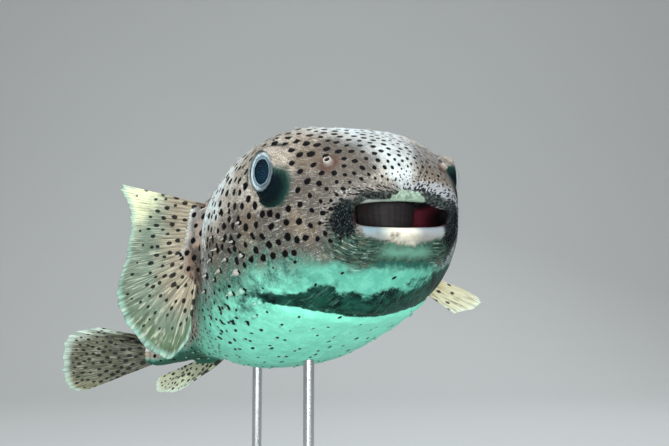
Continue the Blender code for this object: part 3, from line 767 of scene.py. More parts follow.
def even_out(points, allowed, chosen, rounds=2):
    """Moves scattered points to the middle of the patch of skin nearest to each."""
    pool = np.flatnonzero(allowed)[::3]
    centres = points[chosen]
    for _ in range(rounds):
        tree, count = kd_tree(centres), len(centres)
        owner = np.array([tree.find(p)[1] for p in points[pool]])
        shares = np.bincount(owner, minlength=count).clip(1)
        centres = np.stack([np.bincount(owner, points[pool, k], count) / shares
                            for k in range(3)], -1)
    return centres


def low_cheek(distance, belly):
    """Where the spines are stout, from 0 to 1: low on the cheeks."""
    return ramp(0.125, 0.095, distance) * ramp(82, 72, belly) * ramp(40, 50, belly)


def spine_length(distance, belly):
    """How long the spines are: short on the head and belly, longest behind the pectoral fins."""
    flank = ramp(0.08, 0.17, distance) * ramp(55, 95, belly) * ramp(0.36, 0.28, distance)
    cheek = bell(distance - 0.085, 0.03) * bell(belly - 75, 14)
    return SHORT_SPINE + 0.0055 * flank + 0.0015 * cheek


def stamp_spot(ratio, tree, points, centre, heading, radius, long):
    """Lowers ratio, the distance in spots' radii, round a spot that is longer along its heading."""
    for _, j, _ in tree.find_range(centre, SPOT_REACH * radius * long):
        gone = points[j] - centre
        forward = gone @ heading
        across = max(gone @ gone - forward ** 2, 0.0)
        ratio[j] = min(ratio[j], math.sqrt((forward / long) ** 2 + across) / radius)


def lip_fields(points, mouth, front):
    """Masks of the colours round the mouth."""
    y, z = points[:, 1], points[:, 2] - MOUTH_MIDDLE[2]
    fray = 0.0012 * value_noise(points, 0.0035, 41) + 0.0009 * value_noise(points, 0.0013, 42)
    below, above = front * ramp(-0.002, -0.006, z), front * ramp(0.001, 0.004, z)
    peaks = (-0.0048 + 0.0062 * bell(y + 0.0015, 0.0045) + 0.004 * bell(y - 0.0065, 0.004)
             + 0.0012 * ramp(-0.0125, -0.008, y) * ramp(0.014, 0.01, y))
    right_end = np.hypot((y + 0.035) / 0.0058, (z + 0.003) / 0.01)
    left_end = np.hypot((y - 0.0335) / 0.0075, (z + 0.006) / 0.013)
    end = np.minimum(right_end, left_end) + 90 * fray
    span = np.clip(1 - ((y - 0.001) / 0.03) ** 2, 0, 1)
    return {
        "lip": below * ramp(0.0022, -0.0016, mouth + 0.8 * fray + 0.0012 - 0.0064 * span)
               * ramp(0.03, 0.0235, np.abs(y) + fray),
        # Painted shade: the lower half of the lower lip darker
        "lip_underside_shade": below * ramp(-0.0034, 0.003, mouth),
        "under_lip": below * ramp(-0.001, 0.0035, mouth) * ramp(0.0225, 0.015, mouth + 1.5 * fray)
                     * ramp(0.05, 0.036, np.abs(y) + 0.5 * np.maximum(z + 0.014, 0)),
        "patch": above * ramp(0.0012, -0.0009, mouth - peaks + 0.9 * fray)
                 * ramp(-0.015, -0.009, y) * ramp(0.015, 0.011, y),
        "chin_patch": below * bell(mouth - 0.0095 + fray, 0.0034)
                      * ramp(0.021, 0.009, np.abs(y - 0.002)),
        # Painted shade in the crease below the chin's pale patch
        "chin_crease_shade": below * bell(mouth - 0.0168 + fray, 0.0018)
                       * ramp(0.026, 0.013, np.abs(y - 0.001)),
        # Painted shade: near black round the mouth's corners
        "corner": front * ramp(1.7, 0.55, end),
        "pepper": np.maximum(above * ramp(0.012, 0.0005, mouth + 1.5 * fray),
                             front * ramp(2.5, 0.8, end)),
        # Painted shadow along the upper lip's underside and front
        "upper_lip_shadow": above * ramp(0.003, -0.001, mouth + fray) * ramp(-0.006, -0.0042, mouth),
        # Painted highlight along the upper lip's lower edge
        "lip_edge_highlight": above * ramp(-0.0036, -0.0043, mouth) * ramp(-0.03, -0.024, y)
                    * ramp(0.002, -0.003, y),
        "mottle": below * (0.15 + 0.9 * bell(y + 0.0095, 0.0075)) * ramp(-0.003, 0.001, mouth),
    }


def nostril_fields(points):
    """How far the nostrils are; height up each one's tube, for a painted highlight on its rim; and
    depth inside it, for painted shade; both from 0 to 1.
    """
    near, rim_highlight, hole_shade = np.full(len(points), 1.0), np.zeros(len(points)), np.zeros(len(points))
    for side in SIDES:
        foot, normal = nostril_axis(side)
        away = points - foot
        high, wide = about_axis(away, normal)
        high, wide = high / NOSTRIL_HEIGHT, wide / NOSTRIL_RADIUS
        mine = ramp(1.45, 1.2, wide)
        near = np.minimum(near, np.linalg.norm(away, axis=-1))
        rim_highlight = np.maximum(rim_highlight, mine * np.clip(high, 0, 1))
        hole_shade = np.maximum(hole_shade, mine * ramp(0.62, 0.5, wide) * ramp(-1.5, 0.0, high))
    return {"nostril": near, "nostril_rim_highlight": rim_highlight, "nostril_hole_shade": hole_shade}


def skin_tone(points, belly, distance, front, nostrils):
    """How light the tan skin is, from 0 to 1, with painted light and shade: palest over the top of
    the head, lighter over the near eyelid than the far one, darker low on the cheeks; dark by the
    nostrils.
    """
    # Painted light: palest over the top of the head and back
    tone = 0.4 + (0.5 + 0.18 * ramp(0.05, 0.08, distance)) * ramp(140, 170, belly)
    tone += 0.5 * ramp(0.085, 0.125, distance) * ramp(90, 106, belly)
    tone -= 0.24 * bell(points[:, 1] - 0.006, 0.018) * ramp(0.055, 0.035, distance)
    tone += (0.1 * bell(points[:, 2] - 0.012, 0.01) * front
             * ramp(0.034, 0.022, np.abs(points[:, 1])))
    tone -= 0.8 * bell(nostrils, 0.026)
    # Painted light: lighter over the near eyelid, darker over the far one
    for side in SIDES:
        lid = np.array((-0.044, -0.06 * side, 0.033))
        tone += (0.2 if side == 1 else -0.1) * bell(np.linalg.norm(points - lid, axis=-1), 0.01)
    # Painted shade: darker low on the cheeks
    tone -= 0.42 * ramp(110, 84, belly) * ramp(0.2, 0.12, distance)
    tone += 0.1 * value_noise(points, 0.018, 27) + 0.05 * value_noise(points, 0.007, 28)
    return np.clip(tone, 0, 1)


def eye_fields(points):
    """Distance from the eyes; painted shade, with dark pigment, on the lower front of each lid,
    wider on the far eye; and painted shadow in the crease of the fold over each.
    """
    eyes = np.full(len(points), 1.0)
    turret, fold = np.zeros(len(points)), np.zeros(len(points))
    for side in SIDES:
        centre, look, back, up = eye_frame(side)
        away = points - centre
        ahead, reach = away @ look, np.linalg.norm(away, axis=-1)
        eyes = np.minimum(eyes, np.where(ahead > 0.0075, reach, np.maximum(reach, 0.0155)))
        # Painted shade over the lid's dark pigment on its lower front, wider on the far eye
        wide = 1.0 if side > 0 else 1.5
        shade = (points - LID_SHADE_CENTRE * (1, side, 1)) / (0.015 * wide, 0.015, 0.0128 * wide)
        shade = np.clip(1.7 - 1.3 * np.linalg.norm(shade, axis=-1), 0, 1)
        lid = points - LID_CENTRE * (1, side, 1)
        uneven = 0.0006 * value_noise(points, 0.003, 26)
        within = ramp(0.0158, 0.0148, np.linalg.norm(lid, axis=-1) + uneven)
        turret = np.maximum(turret, shade * np.maximum(within, ramp(0.004, 0.01, lid[:, 0])))
        # Painted shadow in the crease of the fold over the eye
        crease = bell(reach - 0.018, 0.0016) * ramp(0.004, 0.01, over_eye(away, back, up))
        fold = np.maximum(fold, crease * ramp(-0.01, -0.002, ahead))
    return eyes, turret, fold


def stand_spines(skin, tree, out, back, allowed):
    """Where spines stand and how long they are; pushes up the skin over their roots."""
    points, distance, belly = skin["points"], skin["distance"], skin["belly"]
    gap = 0.015 + 0.01 * ramp(66, 30, belly) * ramp(0.3, 0.1, distance)
    spines = scatter(tree, points, allowed, gap * 0.82, 31)
    length = spine_length(distance, belly)
    stout = low_cheek(distance, belly)
    rise = np.zeros(len(points))
    for i in spines:
        normal = unit(out[i])
        heading = unit(back[i] - (back[i] @ normal) * normal)
        for _, j, _ in tree.find_range(points[i] + 0.3 * length[i] * heading, 0.9 * length[i]):
            gone = points[j] - points[i]
            forward = gone @ heading / length[i]
            across = np.linalg.norm(gone - (gone @ heading) * heading)
            rise[j] = max(rise[j], (0.0003 + 0.0006 * stout[i])
                          * math.exp(-(across / 0.0013) ** 2)
                          * max(0.0, 1 - ((forward - 0.15) / 0.45) ** 2))
    skin["points"] = points + unit(out) * rise[:, None]
    return spines, length


def spot_field(skin, tree, out, directions, spines, wild, sparse, border):
    """Distance from the nearest spot's middle in its own radii. Big spots are strewn where the skin
    is wild, small ones where it is sparse and at the roots of the lower spines; on the low flank
    those at the roots are painted shadow, larger and set below the root."""
    points, distance, belly = skin["points"], skin["distance"], skin["belly"]
    mouth, front = skin["mouth"], skin["front"]
    back, up = directions
    flank = ramp(0.12, 0.16, distance)
    low_flank = (ramp(118, 98, belly) * ramp(42, 54, belly) * ramp(0.26, 0.18, distance)
                 * ramp(0.06, 0.09, distance))
    gap = 0.0093 - 0.0018 * ramp(128, 150, belly) * ramp(0.08, 0.05, distance) - 0.0004 * flank
    gap -= (0.0016 * ramp(0.028, 0.018, mouth) + 0.0022 * ramp(0.018, 0.009, mouth)) * front
    gap -= (0.002 * ramp(-0.014, 0.006, points[:, 1]) * ramp(0.055, 0.035, distance)
            * ramp(0.004, 0.01, points[:, 2]))
    size = gap * (0.216 + 0.018 * ramp(0.02, 0.035, distance) * ramp(0.12, 0.09, distance)
                  * ramp(165, 145, belly))
    middles = even_out(points, wild, scatter(tree, points, wild, gap * 0.8, 32))
    middles = np.array([tree.find(middle)[1] for middle in middles])
    lower = spines[(belly[spines] < border[spines] + 6) | (low_flank[spines] > 0.5)]
    few_gap = 0.017 - 0.0095 * ramp(30, 48, belly) * ramp(0.085, 0.125, distance)
    few = scatter(tree, points, sparse, few_gap, 33)
    strew = np.random.default_rng(34)
    ratio = np.full(len(points), UNMARKED)
    kinds = ("big", middles), ("root", lower), ("small", few)
    for kind, i in [(kind, i) for kind, chosen in kinds for i in chosen]:
        centre, normal = points[i], unit(out[i])
        radius = size[i] * strew.uniform(0.8, 1.14)
        long = strew.uniform(1.0, 1.16) + 0.26 * flank[i]
        heading = back[i] + 0.25 * strew.normal(size=3)
        if kind != "big":
            radius = strew.uniform(0.0005, 0.0009) + 0.0003 * (distance[i] > 0.1)
            long = strew.uniform(1.4, 2.3)
            if kind == "root":
                # Painted shadow below a spine's root on the low flank: the spot grows and slips
                # down
                root_shadow = ramp(0.2, 0.14, distance[i]) * low_flank[i]
                radius, long = radius + 0.001 * root_shadow, long * (1 - 0.3 * root_shadow)
                centre = centre - 0.0009 * root_shadow * up[i]
        elif front[i] > 0.3 and mouth[i] < 0.02:
            away = centre - MOUTH_MIDDLE
            heading = away * (0, 1, 1.6) + 0.004 * strew.normal(size=3)
            radius, long = radius * 0.9, strew.uniform(1.1, 1.5)
        heading = unit(heading - (heading @ normal) * normal)
        stamp_spot(ratio, tree, points, centre, heading, radius, long)
    return ratio


def skin_fields(mesh, skin):
    """The named values that the skin's material is drawn from; returns where the spines stand."""
    points, distance, belly = skin["points"], skin["distance"], skin["belly"]
    mouth, inside, front = skin["mouth"], skin["inside"], skin["front"]
    tree = kd_tree(points)
    out = outward(mesh, points)
    _, back, _, up = spine(distance)
    eyes, turret, fold = eye_fields(points)
    feet = np.minimum(*(line_distance(points, fin["root"](np.linspace(0, 1, 16)))[0]
                        for fin in FINS if fin["name"].startswith("pectoral")))

    # Where the tan back gives way to the mint belly, painted shade low on the sides, the gills and
    # the dark band on the throat
    wobble = 4.0 * value_noise(points, 0.012, 21) + 2.0 * value_noise(points, 0.004, 22)
    border = np.interp(distance, BORDER_DISTANCE, BORDER_TURN)
    soft = 4.0 + 19.0 * ramp(0.014, 0.036, distance)
    pale = ramp(1.0, -1.0, (belly - border + wobble) / soft)
    # Painted shade, dark green, low on the sides along the border and under the cheeks
    dusk = bell(belly - border - 2.0 + wobble, 13.0) * ramp(0.02, 0.045, distance)
    dusk = np.maximum(dusk * ramp(0.24, 0.14, distance),
                      1.2 * bell(distance - 0.094, 0.026) * bell(belly - 57, 9))
    # Where the gill's folds are painted with shade and highlights
    gill = bell(distance - 0.143, 0.0085) * ramp(64, 76, belly) * ramp(128, 112, belly)
    ragged = 0.003 * value_noise(points, 0.0085, 23)
    aside = np.radians(belly)
    band_front = smooth(BAND_TURN, BAND_FRONT, skin["turned"])
    band = np.clip(0.5 + (distance - band_front + ragged) / 0.016, 0, 1)
    band *= ramp(0.0062, 0.0026, distance - fold_distance(aside) + 0.3 * ragged)
    band *= ramp(72, 54, belly + 2 * wobble)

    # Spines: none on the snout, the eyelids and the feet of the fins
    open_skin = (inside < 0.05) & (eyes > 0.015) & (distance < STANDARD_LENGTH - 0.004)
    grown = open_skin & (eyes > 0.0215) & (feet > 0.014)
    grown &= (distance > 0.05 + 0.03 * ramp(150, 80, belly)) & (distance < 0.375)
    grown &= (mouth > 0.03) | (front < 0.01)
    grown &= ~((belly < 60) & (distance < 0.075))
    spines, length = stand_spines(skin, tree, out, back, grown)
    points = skin["points"]
    set_coordinates(mesh, to_world(points))

    nostrils = nostril_fields(points)
    higher = 4 + 13 * ramp(0.08, 0.105, distance) * ramp(0.2, 0.15, distance)
    wild = open_skin & (belly > border + higher) & (mouth > 0.007) & (eyes > 0.0172)
    wild &= (nostrils["nostril"] > 0.0052) & ~((mouth < 0.024) & (points[:, 2] < -0.022))
    wild &= (turret < 0.1) & (gill < 0.45)
    sparse = open_skin & (belly < border + 2) & (distance > 0.012)
    spots = spot_field(skin, tree, out, (back, up), spines, wild, sparse, border)
    zero, away = np.zeros(len(points)), (points - MOUTH_MIDDLE)[:, 1:] * (1.0, 1.8)
    attributes(mesh, spot=spots, pale=pale, band=band, inside=inside, turret=turret, fold=fold,
               dusk=dusk, gill=gill, mouth=mouth, height=belly / 180.0, along=distance,
               tone=skin_tone(points, belly, distance, front, nostrils["nostril"]),
               foot=ramp(0.016, 0.004, feet), rest=points,
               flow=np.stack([distance, aside * FLOW_RADIUS, zero], -1),
               ring=np.stack([mouth, np.arctan2(away[:, 1], away[:, 0]) * RING_RADIUS, zero], -1),
               **nostrils, **lip_fields(points, mouth, front))
    return [(points[i], unit(out[i]), unit(back[i]), length[i], distance[i], skin["angle"][i],
             belly[i]) for i in spines]


# ---------------------------------------------------------------- finishes
def linear(colour):
    """Linear colour from three sRGB numbers up to 255; a node's output comes back as it is."""
    if isinstance(colour, bpy.types.NodeSocket):
        return colour
    return tuple(c / 255 / 12.92 if c <= 10.3 else ((c / 255 + 0.055) / 1.055) ** 2.4
                 for c in colour) + (1.0,)


class Paint:
    """A Principled material and short ways to add the nodes that colour it. A value may be given
    as the name of one of the mesh's fields, a colour as three sRGB numbers up to 255."""

    def __init__(self, name, **fixed):
        self.material = bpy.data.materials.new(name)
        self.material.use_nodes = True
        self.tree = self.material.node_tree
        self.shader = self.tree.nodes["Principled BSDF"]
        for socket, value in fixed.items():
            self.shader.inputs[socket.replace("_", " ")].default_value = value

    def node(self, kind, inputs=(), **settings):
        node = self.tree.nodes.new(kind)
        for setting, value in settings.items():
            setattr(node, setting, value)
        for socket, value in dict(inputs).items():
            if isinstance(value, str):
                value = self.node('ShaderNodeAttribute', attribute_name=value).outputs["Fac"]
            if isinstance(value, bpy.types.NodeSocket):
                self.tree.links.new(value, node.inputs[socket])
            else:
                node.inputs[socket].default_value = value
        return node

    def scaled(self, vector, scale):
        return self.node('ShaderNodeVectorMath', {0: vector, 1: scale},
                         operation='MULTIPLY').outputs[0]

    def place(self, name, scale=(1, 1, 1)):
        field = self.node('ShaderNodeAttribute', attribute_name=name)
        return self.scaled(field.outputs["Vector"], scale)

    def on_object(self, scale):
        return self.scaled(self.node('ShaderNodeTexCoord').outputs["Object"], scale)

    def part(self, vector, axis):
        return self.node('ShaderNodeSeparateXYZ', {0: vector}).outputs[axis]

    def noise(self, where, scale=1.0, detail=2.0, rough=0.5):
        return self.node('ShaderNodeTexNoise', {"Vector": where, "Scale": scale, "Detail": detail,
                                                "Roughness": rough}).outputs["Fac"]

    def streaks(self, name, scale, detail=3, rough=0.6):
        """Noise in a named frame of the mesh, drawn out by its own scale along each axis."""
        return self.noise(self.place(name, scale), 1.0, detail, rough)

    def calc(self, operation, a, b=0.5, clamp=False):
        return self.node('ShaderNodeMath', {0: a, 1: b}, operation=operation,
                         use_clamp=clamp).outputs[0]

    def times(self, a, b):
        return self.calc('MULTIPLY', a, b)

    def centred(self, noise):
        return self.calc('SUBTRACT', noise, 0.5)

    def plus(self, value, extra, share):
        """A value with a share of another added, such as an edge frayed by noise."""
        return self.calc('ADD', value, self.times(extra, share))

    def step(self, value, low, high, floor=0.0, ceiling=1.0):
        return self.node('ShaderNodeMapRange', {"Value": value, "From Min": low, "From Max": high,
                                                "To Min": floor, "To Max": ceiling},
                         interpolation_type='SMOOTHSTEP').outputs["Result"]

    def mix(self, factor, a, b):
        return self.node('ShaderNodeMix', {0: factor, 6: linear(a), 7: linear(b)},
                         data_type='RGBA').outputs[2]

    def layers(self, colour, *rows):
        """Colours laid over one another. A row is a value, where it sets in, where it is whole, how
        much it then covers, and its colour; or only how much it covers, and its colour."""
        for value, *limits, over in rows:
            if limits:
                low, high, cover = limits
                value = self.step(value, low, high, 0.0, cover)
            colour = self.mix(value, colour, over)
        return colour

    def shade(self, **sockets):
        for socket, value in sockets.items():
            self.tree.links.new(value, self.shader.inputs[socket.replace("_", " ")])

    def finish(self, *bumps):
        """Adds bumps, each a height, its distance and strength, and gives the material."""
        normal = None
        for height, distance, strength in bumps:
            inputs = {"Height": height, "Distance": distance, "Strength": strength}
            if normal is not None:
                inputs["Normal"] = normal
            normal = self.node('ShaderNodeBump', inputs).outputs["Normal"]
        if normal is not None:
            self.shade(Normal=normal)
        return self.material


def skin_paint():
    paint = Paint("spotted_skin", Roughness=0.5, Specular_IOR_Level=0.06)
    times, plus, step, mix, layers = paint.times, paint.plus, paint.step, paint.mix, paint.layers
    rest = paint.place("rest")
    broad, patchy = paint.noise(rest, 38, 3), paint.noise(rest, 120, 3, 0.6)
    fine, grain = paint.noise(rest, 620, 3, 0.6), paint.noise(rest, 1500, 2, 0.7)
    wisps = paint.streaks("flow", (170, 720, 1), 3, 0.65)
    streak = paint.streaks("flow", (60, 420, 1), 3, 0.5)
    patches, fray = paint.centred(patchy), paint.centred(fine)
    side = paint.part(rest, "Y")
    from_middle = paint.calc('ABSOLUTE', side)
    # Tan from grey-brown to near white as the skin is lighter, with light and dark grains. Painted
    # sheen: the bluish near-white of the lightest skin and over the top of the head and back;
    # painted glints: the light grains, strongest where the skin is light
    tone = plus(plus("tone", patches, 1.1), fray, 0.7)
    tan = layers(
        mix(step(tone, 0.0, 0.5), (92, 84, 77), (172, 162, 150)),
        # Painted sheen: bluish near-white where the skin is lightest
        (tone, 0.45, 1.0, 1, (228, 240, 242)),
        (broad, 0.46, 0.68, 0.26, (172, 144, 114)),
        (wisps, 0.54, 0.68, 0.4, (232, 234, 230)),
        (times(step(wisps, 0.46, 0.32, 0, 0.45), step(tone, 1.0, 0.4, 0.25, 1.0)), (66, 60, 56)),
        # Painted glints: light grains, strongest where the skin is light
        (times(step(grain, 0.55, 0.68, 0, 0.75), step(tone, -0.1, 0.6, 0.2, 1.0)), (236, 240, 238)),
        (times(step(grain, 0.46, 0.33, 0, 0.7), step(tone, 1.0, 0.4, 0.35, 1.0)), (66, 62, 62)),
        ("nostril", 0.032, 0.01, 0.42, (94, 84, 75)),
        # Painted sheen: bluish white over the top of the head and back
        ("height", 0.78, 0.93, 0.3, (208, 228, 238)))
    # Pale mint below, faintly streaked: painted light, the green of the water's light over a pale
    # belly, and painted lighter on the belly behind the chin where more light fell
    cloud = step(plus(times(streak, 0.15), patchy, 0.85), 0.36, 0.64)
    mint = layers(mix(cloud, (112, 194, 171), (88, 170, 150)),
                  ("along", 0.034, 0.066, 1, mix(cloud, (148, 250, 220), (134, 236, 206))),
                  (grain, 0.6, 0.74, 0.4, (226, 250, 240)))
    pale = step(plus("pale", patches, 0.5), 0.12, 0.88)
    # Painted shade low on the sides along the border between them, and the folds of the gill
    shadow = step(paint.noise(rest, 120, 5, 0.65), 0.36, 0.64)
    dusk = mix(step(fine, 0.42, 0.6), (32, 76, 68), (92, 140, 126))
    # The gill's folds are painted as dark and light stripes: their painted shade and highlights
    lines = paint.streaks("flow", (620, 150, 1))
    folds = mix(step(lines, 0.42, 0.6), (58, 62, 70), (224, 230, 230))
    colour = layers(mix(pale, tan, mint),
                    (paint.calc('MULTIPLY', "dusk", shadow, clamp=True), dusk),
                    (times("gill", step(patchy, 0.36, 0.58, 0.25, 0.65)), folds))
    # Round the mouth: short dark marks run out from it, closing up towards the lip and its corners
    marks = paint.node('ShaderNodeTexVoronoi', {"Vector": paint.place("ring", (400, 960, 1)),
                                                "Scale": 1.15}).outputs["Distance"]
    between = plus(paint.calc('SUBTRACT', marks, times("pepper", 0.56)), fray, 0.35)
    ground = layers(mix(step(side, -0.012, 0.01), (118, 111, 104), (168, 173, 179)),
                    (fine, 0.52, 0.68, 0.6, (214, 216, 216)))
    # The chin under the lip: grey-green, with wrinkles that follow the mouth
    rings = paint.streaks("ring", (1250, 330, 1))
    wrinkles = paint.node('ShaderNodeMix', {0: step(from_middle, 0.01, 0.022),
                                            2: paint.streaks("ring", (300, 760, 1)),
                                            3: paint.streaks("ring", (720, 330, 1))}).outputs[0]
    flecks = times(times(step(rings, 0.56, 0.66), step(patchy, 0.4, 0.58)),
                   step(from_middle, 0.012, 0.024, 0.1, 0.8))
    chin = layers(mix(step(wrinkles, 0.38, 0.64), (24, 42, 38), (66, 92, 80)),
                  (patchy, 0.52, 0.68, 0.35, (112, 108, 92)), (flecks, (172, 196, 186)))
    # Painted shade in the mouth's corners: near black, with faint rings and grains
    corner = layers((4, 7, 10), (rings, 0.58, 0.7, 0.6, (58, 74, 78)),
                    (grain, 0.58, 0.7, 0.45, (140, 158, 168)))
    # Painted shadow: the dark colour under the upper lip
    roll = mix(step(fine, 0.4, 0.62), (14, 15, 17), (54, 64, 60))
    patch = mix(step(fine, 0.35, 0.65), (128, 150, 134), (174, 196, 176))
    lip = layers(mix(step(side, -0.006, -0.018), (244, 238, 222), (128, 148, 156)),
                 (side, 0.002, 0.013, 1, (148, 155, 162)),
                 # Painted shade on the lower lip's lower half, broken by its wrinkles
                 (times("lip_underside_shade", step(wrinkles, 0.26, 0.74, 0.35, 0.65)), (146, 138, 122)),
                 (times("mottle", step(patchy, 0.42, 0.6)), (118, 108, 98)))
    foot = mix(step(patchy, 0.4, 0.6), (52, 44, 42), (134, 102, 80))
    # Painted shadow under the tail stalk
    stalk = times(step("along", 0.3, 0.35), pale)
    edge = plus("spot", fray, 0.5)
    # The lids' lower front: dark pigment with painted shade over it
    lid = plus("turret", fray, 0.35)
    lid_colour = mix(step(lid, 0.3, 0.85), (30, 60, 52), (4, 18, 24))
    torn = paint.noise(rest, 95, 7, 0.72)
    dark = layers(mix(step(torn, 0.36, 0.62), (2, 20, 20), (26, 78, 64)),
                  (streak, 0.54, 0.7, 0.45, (88, 140, 122)),
                  (grain, 0.58, 0.72, 0.45, (110, 154, 138)))
    # Inside of the mouth: mauve-brown, red on the one cheek; painted shadow black in its far corner
    # and dark round the rim of the opening
    flesh = layers(mix(step(side, 0.002, 0.014), (120, 96, 98), (92, 36, 46)),
                   (side, 0.024, 0.029, 1, (10, 9, 12)), (side, -0.016, -0.026, 1, (110, 80, 74)),
                   ("mouth", -0.0032, -0.0008, 1, (28, 24, 26)))
    colour = layers(
        colour,
        ("pepper", 0.1, 0.6, 0.8, ground),
        (times(step(between, 0.06, -0.08), step("pepper", 0.05, 0.3)), (26, 26, 31)),
        ("under_lip", chin), ("chin_patch", (94, 140, 122)),
        # Painted shade in the chin's crease
        (times("chin_crease_shade", 0.75), (30, 84, 76)),
        # Painted shade in the mouth's corners
        (plus("corner", fray, 1.7), 0.3, 0.8, 1, corner),
        # Painted shadow under the upper lip and a painted highlight along its lower edge
        (times("upper_lip_shadow", 0.9), roll), (times("lip_edge_highlight", 0.8), (166, 174, 166)),
        (plus("patch", fray, 1.7), 0.15, 0.85, 0.86, patch),
        (plus("lip", fray, 0.5), 0.05, 0.95, 1, lip),
        # Nostrils: reddish skin round them, a painted highlight pale on their rims, painted shade
        # dark inside
        ("nostril", 0.0095, 0.004, 0.8, (88, 62, 53)),
        ("nostril_rim_highlight", (206, 200, 192)), ("nostril_hole_shade", (40, 28, 28)),
        # Feet of the fins, and painted shadow: dark green on the underside of the tail stalk
        (times("foot", 0.8), foot), (times(stalk, 0.92), (22, 66, 52)),
        # Spots, their edges a little ragged
        (edge, 1.55, 1.05, 0.3, (84, 74, 68)), (edge, 1.17, 0.94, 1, (9, 8, 11)),
        # Painted shadow in the crease of the fold over the eyelids, painted shade over their dark
        # pigment on the shaded side, and the band across the throat
        ("fold", (16, 22, 26)), (lid, 0.00, 0.5, 1, lid_colour),
        (plus("band", paint.centred(torn), -1.9), 0.28, 0.68, 1, dark),
        ("inside", flesh))
    paint.shade(Base_Color=colour)
    return paint.finish((grain, 0.00025, 0.8), (fine, 0.00045, 0.9),
                        (paint.noise(rest, 260, 2), 0.0006, 0.7),
                        (times(wrinkles, step("mouth", 0.03, 0.012)), 0.0006, 0.7),
                        (times(streak, pale), 0.0004, 0.3))


def fin_paint(name, root, inner, middle, tip, low, edge, spot):
    """Membrane colours from the root out; tip is for the upper corner and low for the lower one."""
    paint = Paint(name, Roughness=0.45, Specular_IOR_Level=0.18)
    rest = paint.place("rest")
    patchy, fine = paint.noise(rest, 110, 3, 0.6), paint.noise(rest, 700, 2)
    threads = paint.streaks("blade", (60, 1500, 1), 2)
    far = paint.plus("reach", paint.centred(patchy), 0.4)
    paint.shade(Base_Color=paint.layers(
        root,
        (far, 0.03, 0.17, 1, inner),
        (far, 0.3, 0.66, 1, middle),
        (paint.plus(far, "share", -1.1), 0.3, 0.72, 1, tip),
        (paint.plus(far, "share", 1.3), 1.75, 2.15, 0.8, low),
        ("rim", 0.25, 1.0, 0.8, edge),
        ("ray", 0.5, 0.0, 0.5, (66, 68, 58)),
        (threads, 0.52, 0.68, 0.45, (236, 234, 214)),
        (threads, 0.47, 0.32, 0.55, (66, 66, 52)),
        (paint.plus("spot", paint.centred(fine), 0.6), 1.2, 0.85, 0.95, spot)))
    joints = paint.streaks("blade", (900, 60, 1), 1, 0.5)
    return paint.finish((joints, 0.0004, 0.5), (fine, 0.0003, 0.6))


def spine_paint():
    """Skin-coloured where the sheath covers the spine, ivory beyond it, with painted shade dark at
    its root; below, the sheath takes the belly's mint, the green of the water's light painted in.
    """
    paint = Paint("spine", Roughness=0.36, Specular_IOR_Level=0.4)
    rest = paint.place("rest")
    cloud = paint.noise(rest, 300, 2)
    sheath = paint.layers(paint.mix(cloud, (136, 128, 118), (206, 202, 192)),
                          ("pale", paint.mix(cloud, (96, 176, 152), (136, 214, 190))))
    paint.shade(Base_Color=paint.layers(sheath, ("tip", 0.42, 0.62, 1, (234, 232, 220)),
                                        # Painted shade: dark where the spine meets the skin
                                        ("tip", 0.1, 0.00, 0.6, (40, 48, 44))))
    return paint.finish((paint.noise(rest, 1400, 1), 0.0002, 0.5))


def iris_paint():
    """A silvery ring, dark at its outer edge, breaking up in wisps where the pupil starts, with
    painted shade darker towards its lower front.
    """
    paint = Paint("iris", Roughness=0.3, Specular_IOR_Level=0.3)
    step, where, turn = paint.step, paint.place("rest"), paint.place("turn")
    fleck, cloud = paint.noise(where, 900, 3, 0.6), paint.noise(where, 330, 3, 0.6)
    ring = paint.plus("ring", paint.centred(cloud), 0.16)
    # Painted shade: the ring darker towards its lower front
    lit = paint.calc('ADD', paint.times(paint.part(turn, "Y"), 0.75), paint.part(turn, "X"))
    silver = paint.mix(step(fleck, 0.35, 0.68), (240, 250, 252), (160, 182, 194))
    grey = paint.mix(step(fleck, 0.38, 0.62), (128, 154, 166), (86, 114, 130))
    paint.shade(Base_Color=paint.layers(
        silver, (ring, 0.86, 0.76, 1, grey), (lit, 0.1, -0.8, 0.85, (62, 76, 84)),
        (ring, 0.7, 0.66, 1, (176, 196, 204)), (ring, 0.675, 0.63, 1, (4, 22, 38)),
        (ring, 0.93, 0.99, 0.8, (70, 88, 98))))
    return paint.finish((fleck, 0.0002, 0.5))


def lens_paint():
    paint = Paint("pupil", Roughness=0.4, Specular_IOR_Level=0.0)
    # Painted highlight: the pupil lighter towards its bottom
    lit = paint.part(paint.place("turn"), "Y")
    paint.shade(Base_Color=paint.mix(paint.step(lit, 0.9, -0.8), (3, 16, 28), (8, 36, 54)))
    return paint.finish()


def cornea_paint():
    paint = Paint("cornea", Base_Color=linear((200, 230, 238)), Roughness=0.04, IOR=1.34,
                  Specular_IOR_Level=0.1)
    edge = paint.node('ShaderNodeLayerWeight', {"Blend": 0.35}).outputs["Facing"]
    paint.shade(Alpha=paint.step(edge, 0.56, 1.0, 0.005, 0.85))
    return paint.finish()


def tooth_paint():
    # The plates are painted near black: painted shade in place of the beak's own pale colour, with
    # a paler biting edge
    paint = Paint("tooth_plate", Roughness=0.55, Specular_IOR_Level=0.12)
    bands, stain = paint.streaks("rest", (260, 60, 700)), paint.noise(paint.place("rest"), 150, 3)
    paint.shade(Base_Color=paint.layers(
        paint.mix(paint.step(bands, 0.35, 0.65), (37, 33, 34), (43, 40, 42)),
        (stain, 0.52, 0.72, 0.6, (46, 36, 34)), ("edge", 0.86, 1.0, 0.5, (120, 116, 110))))
    return paint.finish((bands, 0.0002, 0.4))


